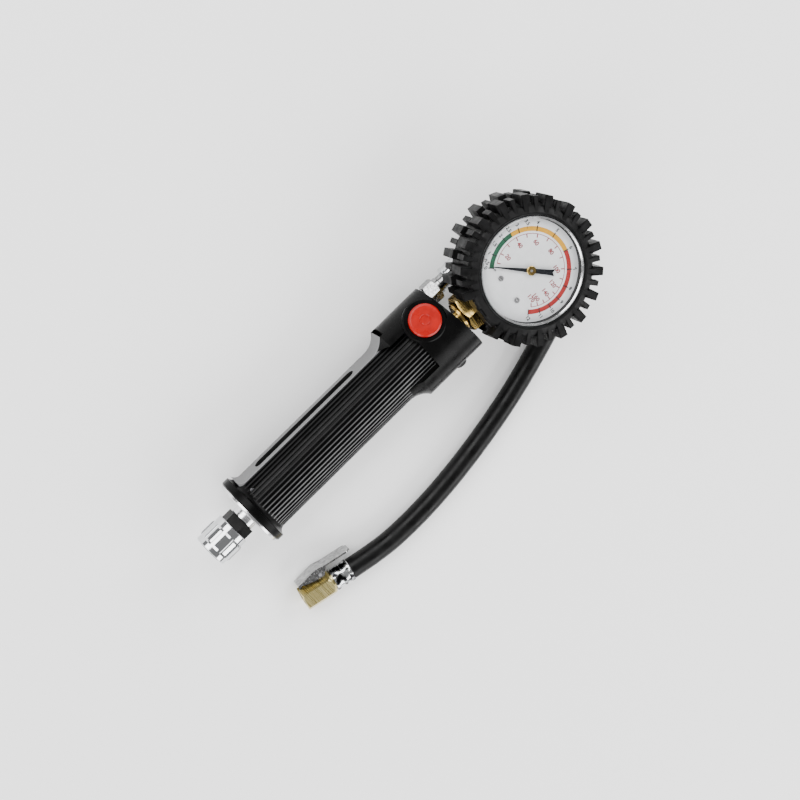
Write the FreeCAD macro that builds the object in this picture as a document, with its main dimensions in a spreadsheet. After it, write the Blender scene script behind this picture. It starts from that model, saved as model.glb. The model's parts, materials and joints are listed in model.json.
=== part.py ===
"""Hand-held tyre inflator with a dial gauge, a squeeze lever and a short hose.

The handle lies along +X with the middle of its air inlet at the origin, the
dial faces +Z, the squeeze lever is on the +Y side and the hose comes back
beside the handle on the -Y side.  Lengths are in millimetres.
"""
import FreeCAD
import Part
import math
import os
from types import SimpleNamespace

import Sketcher
from FreeCAD import Placement, Rotation, Vector

doc = FreeCAD.newDocument("tyre_inflator")
sheet = doc.addObject("Spreadsheet::Sheet", "Sizes")

DRIVING_SIZES = {
    # inlet coupler
    "sleeve_start": 0.3,
    "sleeve_end": 19.0,
    "sleeve_radius": 10.4,
    "sleeve_pad_height": 0.8,
    "sleeve_pad_count": 12,
    "sleeve_gap_width": 1.9,
    "sleeve_travel": 4.0,
    "coupler_bore_radius": 5.2,
    "coupler_barrel_radius": 7.8,
    "coupler_shoulder_place": 15.0,
    "coupler_hex_flats": 15.8,
    "coupler_end": 25.2,
    "ball_radius": 1.4,
    "ball_count": 3,
    "ball_place": 5.2,
    # inlet adapter, end plate and core tube
    "neck_radius": 7.5,
    "plate_thickness": 1.8,
    "plate_start": 29.8,
    "plate_radius": 21.4,
    "air_bore_radius": 3.0,
    "tube_radius": 7.0,
    "tube_wall": 2.2,
    "tube_end": 158.0,
    # handle
    "flange_radius": 22.6,
    "flange_thickness": 4.6,
    "flange_fillet": 4.0,
    "grip_radius": 18.9,
    "rib_count": 48,
    "rib_gap_width": 1.15,
    "rib_depth": 0.75,
    "rib_end": 165.0,
    "flare_start": 141.0,
    "flare_length": 11.5,
    "head_radius": 24.7,
    "head_length": 50.0,
    "head_slant": 6.9,
    "cap_thickness": 4.0,
    "front_panel_left": 18.0,
    "front_panel_right": 9.0,
    # squeeze lever
    "lever_width": 15.0,
    "lever_face_height": 17.2,
    "lever_plate": 2.6,
    "lever_wall": 2.0,
    "lever_depth": 6.0,
    "lever_side_gap": 0.6,
    "lever_end_gap": 2.5,
    "lever_start": 38.0,
    "lever_length": 114.5,
    "lever_slot_start": 52.0,
    "lever_slot_end": 129.0,
    "lever_slot_width": 7.0,
    "lever_flare": 6.0,
    "lever_range": 1.4,
    "tongue_width": 5.6,
    "tongue_thickness": 2.5,
    "pivot_place": 41.5,
    "pivot_height": 12.6,
    "pivot_radius": 1.5,
    "pivot_length": 26.0,
    # inflate valve
    "valve_place": 178.0,
    "valve_height": 3.0,
    "valve_bore_radius": 3.4,
    "valve_stem_radius": 1.6,
    "plug_radius": 3.6,
    "plug_stand_out": 1.2,
    "block_half_height": 13.2,
    "block_right": 15.0,
    "block_left": 6.2,
    "block_start": 152.0,
    "block_end": 185.8,
    "arm_end": 184.4,
    "arm_start": 168.0,
    "arm_side": 18.4,
    "arm_low": -13.9,
    "arm_high": -3.2,
    # deflate button
    "button_place": 176.0,
    "button_side": 7.5,
    "button_base": -2.7,
    "button_tilt": 20.0,
    "boss_radius": 12.6,
    "boss_top": 25.0,
    "button_radius": 9.4,
    "button_stand_out": 3.5,
    "button_stem_radius": 2.0,
    "button_travel": 3.0,
    # gauge
    "gauge_gap": 4.6,
    "gauge_side": -4.6,
    "gauge_turn": -4.0,
    "gauge_depth": 28.2,
    "case_radius": 31.0,
    "case_wall": 1.0,
    "bezel_wall": 1.0,
    "bezel_lip": 1.2,
    "bezel_rise": 0.7,
    "dial_clearance": 0.5,
    "dial_height": 26.4,
    "dial_thickness": 0.6,
    "gasket_thickness": 1.1,
    "glass_thickness": 1.2,
    "port_height": 8.5,
    "port_radius": 6.5,
    "pointer_reach": 22.8,
    "pointer_tail": 14.5,
    "pointer_zero": 135.0,
    "gear_module": 0.4,
    "pinion_teeth": 10,
    "sector_teeth": 72,
    "arbor_radius": 0.8,
    "coil_radius": 21.5,
    "coil_height": 8.0,
    "coil_width": 2.6,
    # rubber boot
    "boot_wall": 6.2,
    "boot_back": -1.0,
    "boot_rise": 0.4,
    "boot_clearance": 0.1,
    "lug_height": 5.2,
    "lug_count": 18,
    "lug_width": 5.6,
    # gauge and hose fittings
    "nut_flats": 21.0,
    "nut_start": 194.6,
    "nut_length": 9.0,
    "nipple_radius": 4.0,
    "hose_port_side": 14.6,
    "hose_port_height": -9.2,
    "fitting_flats": 12.6,
    "fitting_start": 190.4,
    "fitting_hex_length": 8.0,
    "hose_nipple_radius": 3.2,
    "hose_radius": 6.5,
    "ferrule_radius": 7.0,
    "ferrule_length": 12.5,
    # tyre chuck
    "chuck_flats": 14.4,
    "chuck_length": 20.0,
    "chuck_bore_radius": 4.1,
    "chuck_bore_depth": 14.0,
    "clip_width": 11.0,
    "clip_sheet": 1.0,
    "clip_pivot_place": 17.5,
    "clip_pivot_side": 9.6,
    # fits
    "running_gap": 0.05,
    "body_gap": 0.3,
}

FORMULA_NAME = "Sizes."
ALONG_X = Rotation(Vector(0, 0, 1), Vector(1, 0, 0))
ALONG_Y = Rotation(Vector(0, 0, 1), Vector(0, 1, 0))
TURNED_TO_Z = Rotation(Vector(1, 0, 0), Vector(0, 0, 1))
TURNED_BACK = Rotation(Vector(0, 0, 1), 180)
TURNED_AGAINST_Y = Rotation(Vector(1, 0, 0), Vector(0, -1, 0))
AGAINST_X = Rotation(Vector(0, 0, 1), Vector(-1, 0, 0))
AGAINST_Y = Rotation(Vector(0, 0, 1), Vector(0, -1, 0))
FLATS_TO_CORNERS = 1 / math.sqrt(3)


class Size:
    """A number that also carries the sheet formula that it comes from."""

    def __init__(self, value, formula):
        self.value = value
        self.formula = formula

    def __float__(self):
        return self.value

    def joined(self, sign, other, value):
        return Size(value, "(%s %s %s)" % (self.formula, sign, as_size(other).formula))

    def __add__(self, other):
        return self.joined("+", other, self.value + float(other))

    def __sub__(self, other):
        return self.joined("-", other, self.value - float(other))

    def __mul__(self, other):
        return self.joined("*", other, self.value * float(other))

    def __truediv__(self, other):
        return self.joined("/", other, self.value / float(other))

    def __radd__(self, other):
        return as_size(other) + self

    def __rsub__(self, other):
        return as_size(other) - self

    def __rmul__(self, other):
        return as_size(other) * self

    def __neg__(self):
        return as_size(0) - self


def as_size(number):
    if isinstance(number, Size):
        return number
    return Size(float(number), "(%.9g)" % number)


def fill_sheet():
    """Write each driving size into the sheet and return them by name."""
    sizes = {}
    for row, (name, number) in enumerate(DRIVING_SIZES.items(), start=1):
        cell = "B%d" % row
        sheet.set("A%d" % row, name)
        sheet.set(cell, str(number))
        sheet.setAlias(cell, name)
        sizes[name] = Size(float(number), FORMULA_NAME + name)
    doc.recompute()
    return SimpleNamespace(**sizes)


s = fill_sheet()


# ---------------------------------------------------------------- helpers

def bind(thing, **sizes):
    for name, size in sizes.items():
        thing.setExpression(name, as_size(size).formula)
    return thing


def put(thing, x=0, y=0, z=0, turn=None):
    """Place a thing: its base follows the sheet and its turn is fixed."""
    base = Vector(float(x), float(y), float(z))
    thing.Placement = Placement(base, turn or Rotation())
    for axis, size in (("x", x), ("y", y), ("z", z)):
        if isinstance(size, Size):
            thing.setExpression("Placement.Base." + axis, size.formula)
    return thing


def named(label, thing):
    thing.Label = label
    return thing


def cylinder(radius, length, x=0, y=0, z=0, turn=None):
    thing = doc.addObject("Part::Cylinder", "Cylinder")
    bind(thing, Radius=radius, Height=length)
    return put(thing, x, y, z, turn)


def box(length, width, height, x=0, y=0, z=0, turn=None):
    thing = doc.addObject("Part::Box", "Box")
    bind(thing, Length=length, Width=width, Height=height)
    return put(thing, x, y, z, turn)


def block(x, y, z):
    """A box given by its low and high side along each axis."""
    (x_low, x_high), (y_low, y_high), (z_low, z_high) = x, y, z
    return box(x_high - x_low, y_high - y_low, z_high - z_low, x_low, y_low, z_low)


def ball(radius, x=0, y=0, z=0):
    thing = doc.addObject("Part::Sphere", "Ball")
    bind(thing, Radius=radius)
    return put(thing, x, y, z)


def hexagon(flats, length, x=0, y=0, z=0, turn=None):
    thing = doc.addObject("Part::Prism", "Hexagon")
    thing.Polygon = 6
    bind(thing, Circumradius=flats * FLATS_TO_CORNERS, Height=length)
    return put(thing, x, y, z, turn)


def fuse(label, *things):
    thing = doc.addObject("Part::MultiFuse", "Fuse")
    thing.Shapes = list(things)
    return named(label, thing)


def common(label, first, second):
    thing = doc.addObject("Part::MultiCommon", "Common")
    thing.Shapes = [first, second]
    return named(label, thing)


def cut(label, base, *tools):
    thing = doc.addObject("Part::Cut", "Cut")
    thing.Base = base
    thing.Tool = tools[0] if len(tools) == 1 else fuse(label + "_tools", *tools)
    return named(label, thing)


def sketch_on(body, role, offset=None):
    """A sketch on one of the body's own origin planes, moved along its normal."""
    plane = next(item for item in body.Origin.OriginFeatures if item.Role == role)
    sketch = body.newObject("Sketcher::SketchObject", "Sketch")
    sketch.AttachmentSupport = [(plane, "")]
    sketch.MapMode = "FlatFace"
    if offset is not None:
        sketch.AttachmentOffset = Placement(Vector(0, 0, float(offset)), Rotation())
        sketch.setExpression("AttachmentOffset.Base.z", as_size(offset).formula)
    return sketch


def arc_between(start, end, radius):
    """The arc from start to end; a positive radius bends to the left."""
    chord = end - start
    middle = (start + end) * 0.5
    side = Vector(-chord.y, chord.x, 0).normalize()
    height = math.sqrt(max(radius ** 2 - (chord.Length / 2) ** 2, 0))
    centre = middle + side * math.copysign(height, radius)
    circle = Part.Circle(centre, Vector(0, 0, 1), abs(radius))
    first, last = circle.parameter(start), circle.parameter(end)
    if radius < 0:
        first, last = last, first
    return Part.ArcOfCircle(circle, first, last)


def draw_outline(sketch, outline):
    """Draw a closed outline whose corners and arc radii follow the sheet.

    Each corner is (u, v), or (u, v, radius) when an arc arrives there.
    """
    corners = [Vector(float(item[0]), float(item[1]), 0) for item in outline]
    ends = []
    for index, item in enumerate(outline):
        start, end = corners[index - 1], corners[index]
        if len(item) == 3:
            edge = sketch.addGeometry(arc_between(start, end, float(item[2])))
            size = item[2] if float(item[2]) > 0 else -as_size(item[2])
            rule = sketch.addConstraint(Sketcher.Constraint("Radius", edge, abs(float(size))))
            sketch.setExpression("Constraints[%d]" % rule, as_size(size).formula)
            ends.append((edge, 1, 2) if float(item[2]) > 0 else (edge, 2, 1))
        else:
            edge = sketch.addGeometry(Part.LineSegment(start, end))
            ends.append((edge, 1, 2))
    for index, item in enumerate(outline):
        edge, _, tail = ends[index]
        following, head, _ = ends[(index + 1) % len(ends)]
        sketch.addConstraint(Sketcher.Constraint("Coincident", edge, tail, following, head))
        for kind, size in (("DistanceX", item[0]), ("DistanceY", item[1])):
            rule = sketch.addConstraint(
                Sketcher.Constraint(kind, -1, 1, edge, tail, float(size)))
            sketch.setExpression("Constraints[%d]" % rule, as_size(size).formula)


def new_body(label):
    return named(label, doc.addObject("PartDesign::Body", "Body"))


def turned(label, outline, x=0, y=0, z=0, turn=None, angle=360):
    """A body of revolution about its own X axis, from (along, radius) corners."""
    body = new_body(label)
    sketch = sketch_on(body, "XY_Plane")
    draw_outline(sketch, outline)
    feature = body.newObject("PartDesign::Revolution", "Turned")
    feature.Profile = sketch
    feature.ReferenceAxis = (sketch, ["H_Axis"])
    feature.Angle = angle
    body.Tip = feature
    return put(body, x, y, z, turn)


def padded(label, role, outline, low, high):
    """A body of even thickness between two heights along a plane's normal."""
    body = new_body(label)
    sketch = sketch_on(body, role, low)
    draw_outline(sketch, outline)
    feature = body.newObject("PartDesign::Pad", "Pad")
    feature.Profile = sketch
    bind(feature, Length=high - low)
    body.Tip = feature
    return body


def notch_round(body, outline, low, high, count):
    """Cut one notch along the body's X axis and repeat it round that axis."""
    sketch = sketch_on(body, "YZ_Plane", low)
    draw_outline(sketch, outline)
    notch = body.newObject("PartDesign::Pocket", "Notch")
    notch.Profile = sketch
    notch.Reversed = True
    bind(notch, Length=high - low)
    return repeat_round(body, notch, sketch, count)


def raise_round(body, outline, low, high, count):
    """Raise one block along the body's X axis and repeat it round that axis."""
    sketch = sketch_on(body, "YZ_Plane", low)
    draw_outline(sketch, outline)
    pad = body.newObject("PartDesign::Pad", "Raised")
    pad.Profile = sketch
    bind(pad, Length=high - low)
    return repeat_round(body, pad, sketch, count)


def repeat_round(body, feature, sketch, count):
    axis = next(item for item in body.Origin.OriginFeatures if item.Role == "X_Axis")
    pattern = body.newObject("PartDesign::PolarPattern", "Round")
    pattern.Originals = [feature]
    pattern.Axis = (axis, [""])
    pattern.Angle = 360
    bind(pattern, Occurrences=count)
    body.Tip = pattern
    return body


def shaped(label, shape, x=0, y=0, z=0, turn=None):
    """A plain feature for a form that neither a sketch nor a primitive fits."""
    thing = doc.addObject("Part::Feature", "Shape")
    thing.Shape = shape
    return put(named(label, thing), x, y, z, turn)


def ring(label, low, high, inner, outer, x=0, y=0, z=0, turn=None):
    outline = [(low, inner), (low, outer), (high, outer), (high, inner)]
    return turned(label, outline, x, y, z, turn)


def coil_spring(label, radius, wire, length, turns, x=0, y=0, z=0, turn=None):
    """A spring along its own Z axis, of flat-sided wire in short straight runs."""
    sides = 14 if radius > 5 else 10
    steps = int(turns * sides)
    points = []
    for step in range(steps + 1):
        angle = 2 * math.pi * step / sides
        height = wire / 2 + (length - wire) * step / steps
        points.append(Vector(radius * math.cos(angle), radius * math.sin(angle), height))
    path = Part.makePolygon(points)
    half = wire / 2
    corners = [Vector(radius - half, 0, 0), Vector(radius + half, 0, 0),
               Vector(radius + half, 0, wire), Vector(radius - half, 0, wire)]
    section = Part.makePolygon(corners + corners[:1])
    return shaped(label, path.makePipeShell([section], True, False, 1), x, y, z, turn)


# ------------------------------------------------------------ derived sizes

plate_end = s.plate_start + s.plate_thickness
flange_end = plate_end + s.flange_thickness
grip_start = flange_end + s.flange_fillet
head_start = s.flare_start + s.flare_length
head_end = s.flare_start + s.head_length
cap_back = head_end - s.cap_thickness
slant = math.radians(s.head_slant.value)
slanted = Rotation(Vector(0, 0, 1), s.head_slant.value)
lever_end = s.lever_start + s.lever_length
channel_floor = s.lever_face_height - s.lever_plate - s.lever_depth - 1.0
channel_half = s.lever_width / 2 + s.lever_side_gap
tongue_low = s.pivot_height - s.body_gap
tongue_end = s.valve_place + 3.6
tilt = math.radians(s.button_tilt.value)
button_turn = Rotation(Vector(1, 0, 0), Vector(0, math.sin(tilt), math.cos(tilt)))
button_axis = Rotation(Vector(0, 0, 1), Vector(0, math.sin(tilt), math.cos(tilt)))
gauge_flat = Rotation(Vector(0, 0, 1), s.gauge_turn.value)
gauge_up = gauge_flat * TURNED_TO_Z
turn_angle = math.radians(s.gauge_turn.value)
boss_floor = s.boss_top - 8.2
s.bezel_radius = s.case_radius + s.bezel_wall
s.window_radius = s.case_radius - s.bezel_lip
s.dial_radius = s.case_radius - s.case_wall - s.dial_clearance
s.boot_radius = s.bezel_radius + s.boot_wall
s.lug_radius = s.boot_radius + s.lug_height
s.gauge_place = head_end + s.lug_radius + s.gauge_gap
glass_low = s.gauge_depth + s.gasket_thickness
glass_top = glass_low + s.glass_thickness
bezel_top = glass_top + s.bezel_rise
boot_top = bezel_top + s.boot_rise
port_depth = s.gauge_place - head_end + 8.6
lever_travel = math.radians(s.lever_range.value)
fitting_end = s.fitting_start + s.fitting_hex_length
hose_start = fitting_end + 7.0 + s.ferrule_length


# ------------------------------------------------------------ inlet coupler

def make_coupler():
    bore = s.coupler_bore_radius
    barrel = s.coupler_barrel_radius
    shoulder = s.coupler_shoulder_place
    seal_low = s.ball_place + 4.8
    barrel_outline = [
        (0, bore), (0, barrel - 0.5), (0.5, barrel),
        (2.2, barrel), (2.2, barrel - 0.8), (3.2, barrel - 0.8), (3.2, barrel),
        (shoulder, barrel), (shoulder, barrel + 1.25),
        (shoulder + 1.2, barrel + 1.25), (shoulder + 1.2, 7.0),
        (s.coupler_end, 7.0), (s.coupler_end, s.neck_radius - 2.5),
        (shoulder + 2.5, s.neck_radius - 2.5), (shoulder + 2.5, bore),
        (seal_low + 2.2, bore), (seal_low + 2.2, bore + 1.4),
        (seal_low, bore + 1.4), (seal_low, bore),
    ]
    barrel_body = turned("coupler_barrel", barrel_outline)
    nut = hexagon(s.coupler_hex_flats, s.coupler_end - shoulder - 1.2,
                  shoulder + 1.2, turn=ALONG_X)
    hollow = cylinder(bore + 0.6, s.coupler_end - shoulder, shoulder, turn=ALONG_X)
    solid = fuse("coupler_solid", barrel_body, cut("coupler_nut", nut, hollow))
    holes = []
    balls = []
    ball_ring = bore + s.ball_radius
    for index in range(int(s.ball_count.value)):
        angle = math.radians(90 + 360 * index / s.ball_count.value)
        y, z = math.cos(angle), math.sin(angle)
        turn = Rotation(Vector(0, 0, 1), Vector(0, y, z))
        holes.append(cylinder(s.ball_radius + s.running_gap, barrel, s.ball_place, turn=turn))
        balls.append(ball(s.ball_radius, s.ball_place, ball_ring * y, ball_ring * z))
    parts = [cut("coupler_body", solid, *holes)]
    parts.append(fuse("locking_balls", *balls))
    parts.append(ring("coupler_seal", seal_low + 0.1, seal_low + 2.1, bore - 0.25, bore + 1.35))
    parts.append(ring("retaining_ring", 2.3, 3.1, barrel - 0.75, barrel + 1.0))
    return parts


def make_sleeve():
    barrel = s.coupler_barrel_radius
    land = barrel + s.body_gap
    skirt = barrel + 1.55
    outer = s.sleeve_radius
    pad = outer + s.sleeve_pad_height
    start, end = s.sleeve_start, s.sleeve_end
    outline = [
        (start, barrel + 1.3), (start, outer - 0.5), (start + 0.5, outer),
        (start + 3.2, outer), (start + 4.0, pad - 0.3), (start + 4.6, pad),
        (end - 5.6, pad), (end - 4.8, pad - 0.5), (end - 4.3, outer),
        (end - 0.5, outer), (end, outer - 0.5), (end, skirt),
        (6.6, skirt), (6.6, land), (3.5, land), (3.5, barrel + 1.3),
    ]
    body = turned("coupler_sleeve", outline)
    half = s.sleeve_gap_width / 2
    gap = [(-half, outer), (half, outer), (half + 0.5, pad + 1), (-half - 0.5, pad + 1)]
    notch_round(body, gap, start + 3.0, end - 4.2, s.sleeve_pad_count)
    spring = coil_spring("sleeve_spring", barrel.value + 0.8, 0.85,
                         s.coupler_shoulder_place.value - 6.8, 4, 6.7, turn=ALONG_X)
    return [body, spring]


def make_inlet():
    thread = s.neck_radius - 2.55
    inside = s.tube_radius - s.tube_wall
    adapter = [
        (s.coupler_shoulder_place + 3.0, s.air_bore_radius),
        (s.coupler_shoulder_place + 3.0, thread), (s.coupler_end, thread),
        (s.coupler_end, s.neck_radius - 0.6), (s.coupler_end + 0.6, s.neck_radius),
        (s.plate_start, s.neck_radius), (s.plate_start, inside),
        (plate_end + 12, inside), (plate_end + 12, s.air_bore_radius),
    ]
    plate = [
        (s.plate_start, inside), (s.plate_start, s.plate_radius - 0.6),
        (s.plate_start + 0.6, s.plate_radius), (plate_end, s.plate_radius),
        (plate_end, inside),
    ]
    return [
        turned("inlet_adapter", adapter),
        turned("end_plate", plate),
        ring("core_tube", plate_end, s.tube_end, inside, s.tube_radius),
    ]


# ------------------------------------------------------------------- handle

def slanted_space(low):
    """Everything beyond the slanted plane that crosses the axis at low."""
    reach = 60
    x = low + reach * math.sin(slant)
    y = -reach * math.cos(slant)
    return box(reach, reach * 2, reach * 2, x, y, -reach, slanted)


def make_handle():
    flange, grip, head = s.flange_radius, s.grip_radius, s.head_radius
    long_end = head_end + 12
    bar = new_body("handle_bar")
    sketch = sketch_on(bar, "XY_Plane")
    draw_outline(sketch, [
        (plate_end, s.tube_radius), (plate_end, flange - 0.8), (plate_end + 0.8, flange),
        (flange_end, flange), (grip_start, grip, s.flange_fillet + 0.6),
        (long_end, grip), (long_end, s.tube_radius),
    ])
    feature = bar.newObject("PartDesign::Revolution", "Turned")
    feature.Profile = sketch
    feature.ReferenceAxis = (sketch, ["H_Axis"])
    bar.Tip = feature
    half = s.rib_gap_width / 2
    floor = grip - s.rib_depth
    gap = [(-half * 0.5, floor), (half * 0.5, floor), (half, grip + 0.4), (-half, grip + 0.4)]
    notch_round(bar, gap, grip_start + 0.3, s.rib_end, s.rib_count)

    flare_radius = (s.flare_length.value ** 2 + (head.value - grip.value) ** 2) \
        / (2 * (head.value - grip.value))
    collar = turned("handle_head", [
        (s.flare_start, floor - 0.5), (s.flare_start, grip + 0.02),
        (head_start, head, flare_radius), (long_end, head), (long_end, floor - 0.5),
    ])
    panel = block((s.flare_start - 1, s.rib_end),
                  (-s.front_panel_right, s.front_panel_left), (0, head + 5))
    boss = turned("button_boss", [
        (10, 0), (10, s.boss_radius), (s.boss_top - 0.8, s.boss_radius),
        (s.boss_top, s.boss_radius - 0.8), (s.boss_top, 0),
    ], s.button_place, s.button_side, s.button_base, button_turn)
    main = cut("handle_main", fuse("handle_round", bar, cut("handle_collar", collar, panel)),
               slanted_space(cap_back))
    solid = fuse("handle_solid", main, cut("boss_cut", boss, slanted_space(head_end)))

    gap = s.body_gap
    tools = [
        block((s.lever_start - gap, lever_end + s.lever_end_gap),
              (channel_floor, head + 5), (-channel_half, channel_half)),
        block((lever_end - 4, tongue_end + gap), (channel_floor, tongue_low + 5.4),
              (s.valve_height - 3.6, s.valve_height + 3.6)),
        block((s.block_start, long_end), (-s.block_right - gap, s.block_left + gap),
              (-s.block_half_height - gap, s.block_half_height + gap)),
        block((s.arm_start - gap, long_end), (s.block_left, s.arm_side + gap),
              (s.arm_low - gap, s.arm_high)),
        cylinder(s.pivot_radius, s.pivot_length, s.pivot_place, s.pivot_height,
                 -s.pivot_length / 2),
        cylinder(s.plug_radius, head, s.valve_place, -head - 2, s.valve_height, ALONG_Y),
        cylinder(s.valve_stem_radius + gap, 4, s.valve_place, channel_floor - 3,
                 s.valve_height, ALONG_Y),
        turned("button_well", [
            (10.9, 0), (10.9, s.button_stem_radius + s.running_gap),
            (13.5, s.button_stem_radius + s.running_gap), (13.5, 5.2),
            (boss_floor, 5.2), (boss_floor, s.button_radius + gap),
            (s.boss_top + 2, s.button_radius + gap), (s.boss_top + 2, 0),
        ], s.button_place, s.button_side, s.button_base, button_turn),
    ]
    for y, z in CAP_SCREW_SPOTS:
        tools.append(cylinder(CAP_SCREW_RADIUS, 14, head_end - y * math.tan(slant) - 12, y, z,
                              ALONG_X))
    handle = cut("handle_body", solid, *tools)
    return [handle] + make_cap()


CAP_SCREW_SPOTS = ((-17.0, -9.5), (-9.0, -17.5))
CAP_SCREW_RADIUS = 1.45


def make_cap():
    head = s.head_radius
    disc = turned("cap_disc", [
        (cap_back - 6, 0), (cap_back - 6, head), (head_end + 6, head), (head_end + 6, 0),
    ])
    holes = [
        slanted_space(head_end),
        gauge_line(s.nipple_radius + 0.1, 42, 20),
        cylinder(s.boss_radius + 0.1, 30, s.button_place,
                 s.button_side + 8 * math.sin(tilt), s.button_base + 8 * math.cos(tilt),
                 button_axis),
        cylinder(s.hose_nipple_radius + 0.1, 30, cap_back - 12, s.hose_port_side,
                 s.hose_port_height, ALONG_X),
    ]
    screws = []
    for y, z in CAP_SCREW_SPOTS:
        x = head_end - y * math.tan(slant)
        holes.append(cylinder(2.0, 14, x - 12, y, z, ALONG_X))
        screws.append(turned("cap_screw", [
            (-9, 0), (-9, CAP_SCREW_RADIUS), (-3.2, CAP_SCREW_RADIUS), (-1.8, 1.9),
            (-0.6, 1.9), (-0.6, 0),
        ], x, y, z))
    near = common("cap_half", disc, slanted_space(cap_back))
    return [cut("head_cap", near, *holes), fuse("cap_screws", *screws)]


def gauge_line(radius, start, length):
    """A cylinder on the gauge's inlet line, start away from the gauge's middle."""
    x = s.gauge_place - start * math.cos(turn_angle)
    y = s.gauge_side - start * math.sin(turn_angle)
    return cylinder(radius, length, x, y, s.port_height, gauge_flat * AGAINST_X)


def gauge_turned(label, outline, start):
    """A turned piece on the gauge's inlet line that points away from the gauge."""
    x = s.gauge_place - start * math.cos(turn_angle)
    y = s.gauge_side - start * math.sin(turn_angle)
    return turned(label, outline, x, y, s.port_height, gauge_flat * TURNED_BACK)


def make_block():
    right, left, half = s.block_right, s.block_left, s.block_half_height
    main = block((s.block_start, s.block_end), (-right, left), (-half, half))
    arm = block((s.arm_start, s.arm_end), (left, s.arm_side), (s.arm_low, s.arm_high - 0.2))
    seat = valve_seat_side
    return cut(
        "valve_block", fuse("block_solid", main, arm),
        cylinder(s.tube_radius, s.tube_end - s.block_start, s.block_start, turn=ALONG_X),
        cylinder(s.air_bore_radius + 1, 12, s.tube_end, turn=ALONG_X),
        cylinder(s.valve_bore_radius, seat + right, s.valve_place, seat, s.valve_height,
                 AGAINST_Y),
        cylinder(s.valve_stem_radius + s.running_gap, left - seat, s.valve_place, left,
                 s.valve_height, AGAINST_Y),
        gauge_line(s.nipple_radius, 50, port_depth - 50),
        cylinder(s.hose_nipple_radius, 14.5, s.arm_end - 14, s.hose_port_side,
                 s.hose_port_height, ALONG_X))


# ------------------------------------------------------------ squeeze lever

valve_seat_side = s.block_left - 4.0
stem_tip = tongue_low - s.body_gap


def make_lever():
    face, start = s.lever_face_height, s.lever_start
    under = face - s.lever_plate
    width = s.lever_width
    plate = padded("lever_plate", "XY_Plane", [
        (start, face + 3.4), (start + 4.8, face, 5.2),
        (lever_end - 12.5, face), (lever_end, face + s.lever_flare, 16.0),
        (lever_end, tongue_low), (lever_end - 2.5, tongue_low),
        (lever_end - 3.5, tongue_low - 0.9), (start + 6, channel_floor + 1.4),
        (start, channel_floor + 1.9),
    ], -width / 2, width / 2)
    tongue = block((lever_end - 4, tongue_end), (tongue_low, tongue_low + s.tongue_thickness),
                   (s.valve_height - s.tongue_width / 2, s.valve_height + s.tongue_width / 2))
    inside = width / 2 - s.lever_wall
    slot_half = s.lever_slot_width / 2
    tools = [
        block((s.pivot_place + 4.5, lever_end - 6), (0, under), (-inside, inside)),
        block((s.lever_slot_start + slot_half, s.lever_slot_end - slot_half),
              (0, face + 5), (-slot_half, slot_half)),
        cylinder(slot_half, face + 5, s.lever_slot_start + slot_half, turn=ALONG_Y),
        cylinder(slot_half, face + 5, s.lever_slot_end - slot_half, turn=ALONG_Y),
        cylinder(s.pivot_radius + s.running_gap, width + 2, s.pivot_place, s.pivot_height,
                 -width / 2 - 1),
    ]
    lever = cut("squeeze_lever", fuse("lever_solid", plate, tongue), *tools)
    pin = cylinder(s.pivot_radius, s.pivot_length, s.pivot_place, s.pivot_height,
                   -s.pivot_length / 2)
    named("lever_pin", pin)
    spring = coil_spring("lever_spring", 3.2, 0.7, float(under - channel_floor) - 0.1, 4,
                         lever_end - 14.5, channel_floor + 0.05, 0, ALONG_Y)
    return [lever, pin, spring]


def make_inflate_valve():
    """The stem under the lever's tongue, its seal, its spring and its plug."""
    place = (s.valve_place, stem_tip, s.valve_height, TURNED_AGAINST_Y)
    seat = stem_tip - valve_seat_side
    stem = s.valve_stem_radius
    bore = s.valve_bore_radius
    head = bore - 0.5
    plug_start = seat + 12
    skin = stem_tip + s.head_radius
    outline = [
        (0, 0), (0, stem - 0.5), (0.5, stem), (seat + 0.9, stem), (seat + 0.9, head),
        (seat + 2.6, head), (seat + 2.6, stem - 0.3), (seat + 4.6, stem - 0.3), (seat + 4.6, 0),
    ]
    plug = [
        (plug_start, 0), (plug_start, bore - s.running_gap),
        (stem_tip + s.block_right, bore - s.running_gap),
        (stem_tip + s.block_right, s.plug_radius - s.running_gap),
        (skin + s.plug_stand_out - 0.6, s.plug_radius - s.running_gap),
        (skin + s.plug_stand_out, s.plug_radius - 0.7), (skin + s.plug_stand_out, 0),
    ]
    return [
        turned("inflate_stem", outline, *place),
        ring("inflate_seal", seat + 0.05, seat + 0.9, stem, head, *place),
        coil_spring("inflate_spring", stem.value + 0.6, 0.55, 9.3, 5, s.valve_place,
                    stem_tip - seat - 2.65, s.valve_height, AGAINST_Y),
        turned("valve_plug", plug, *place),
    ]


def make_button():
    place = (s.button_place, s.button_side, s.button_base, button_turn)
    radius, stem = s.button_radius, s.button_stem_radius
    top = s.boss_top + s.button_stand_out
    low = boss_floor + s.button_travel + 0.6
    web = low + 2.2
    cap = [
        (web, 0), (web, 5.6), (low, 5.6), (low, radius), (top - 0.9, radius),
        (top - 0.1, radius - 0.9), (top, radius - 1.4), (top, 3.4), (top - 0.25, 3.1),
        (top - 0.25, 2.6), (top, 2.3), (top, 0),
    ]
    spring_length = float(web - boss_floor) - 0.1
    axis = Vector(0, math.sin(tilt), math.cos(tilt))
    foot = boss_floor + 0.05
    return [
        turned("deflate_button", cap, *place),
        turned("deflate_stem", [
            (web - s.button_travel - 5.2, 0), (web - s.button_travel - 5.2, stem),
            (web, stem), (web, 0),
        ], *place),
        ring("deflate_seal", boss_floor - 0.85, boss_floor - 0.05, stem + s.running_gap,
             stem + 1.35, *place),
        coil_spring("button_spring", 4.2, 0.6, spring_length, 4, s.button_place,
                    s.button_side + foot * axis.y, s.button_base + foot * axis.z, button_axis),
    ]


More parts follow.
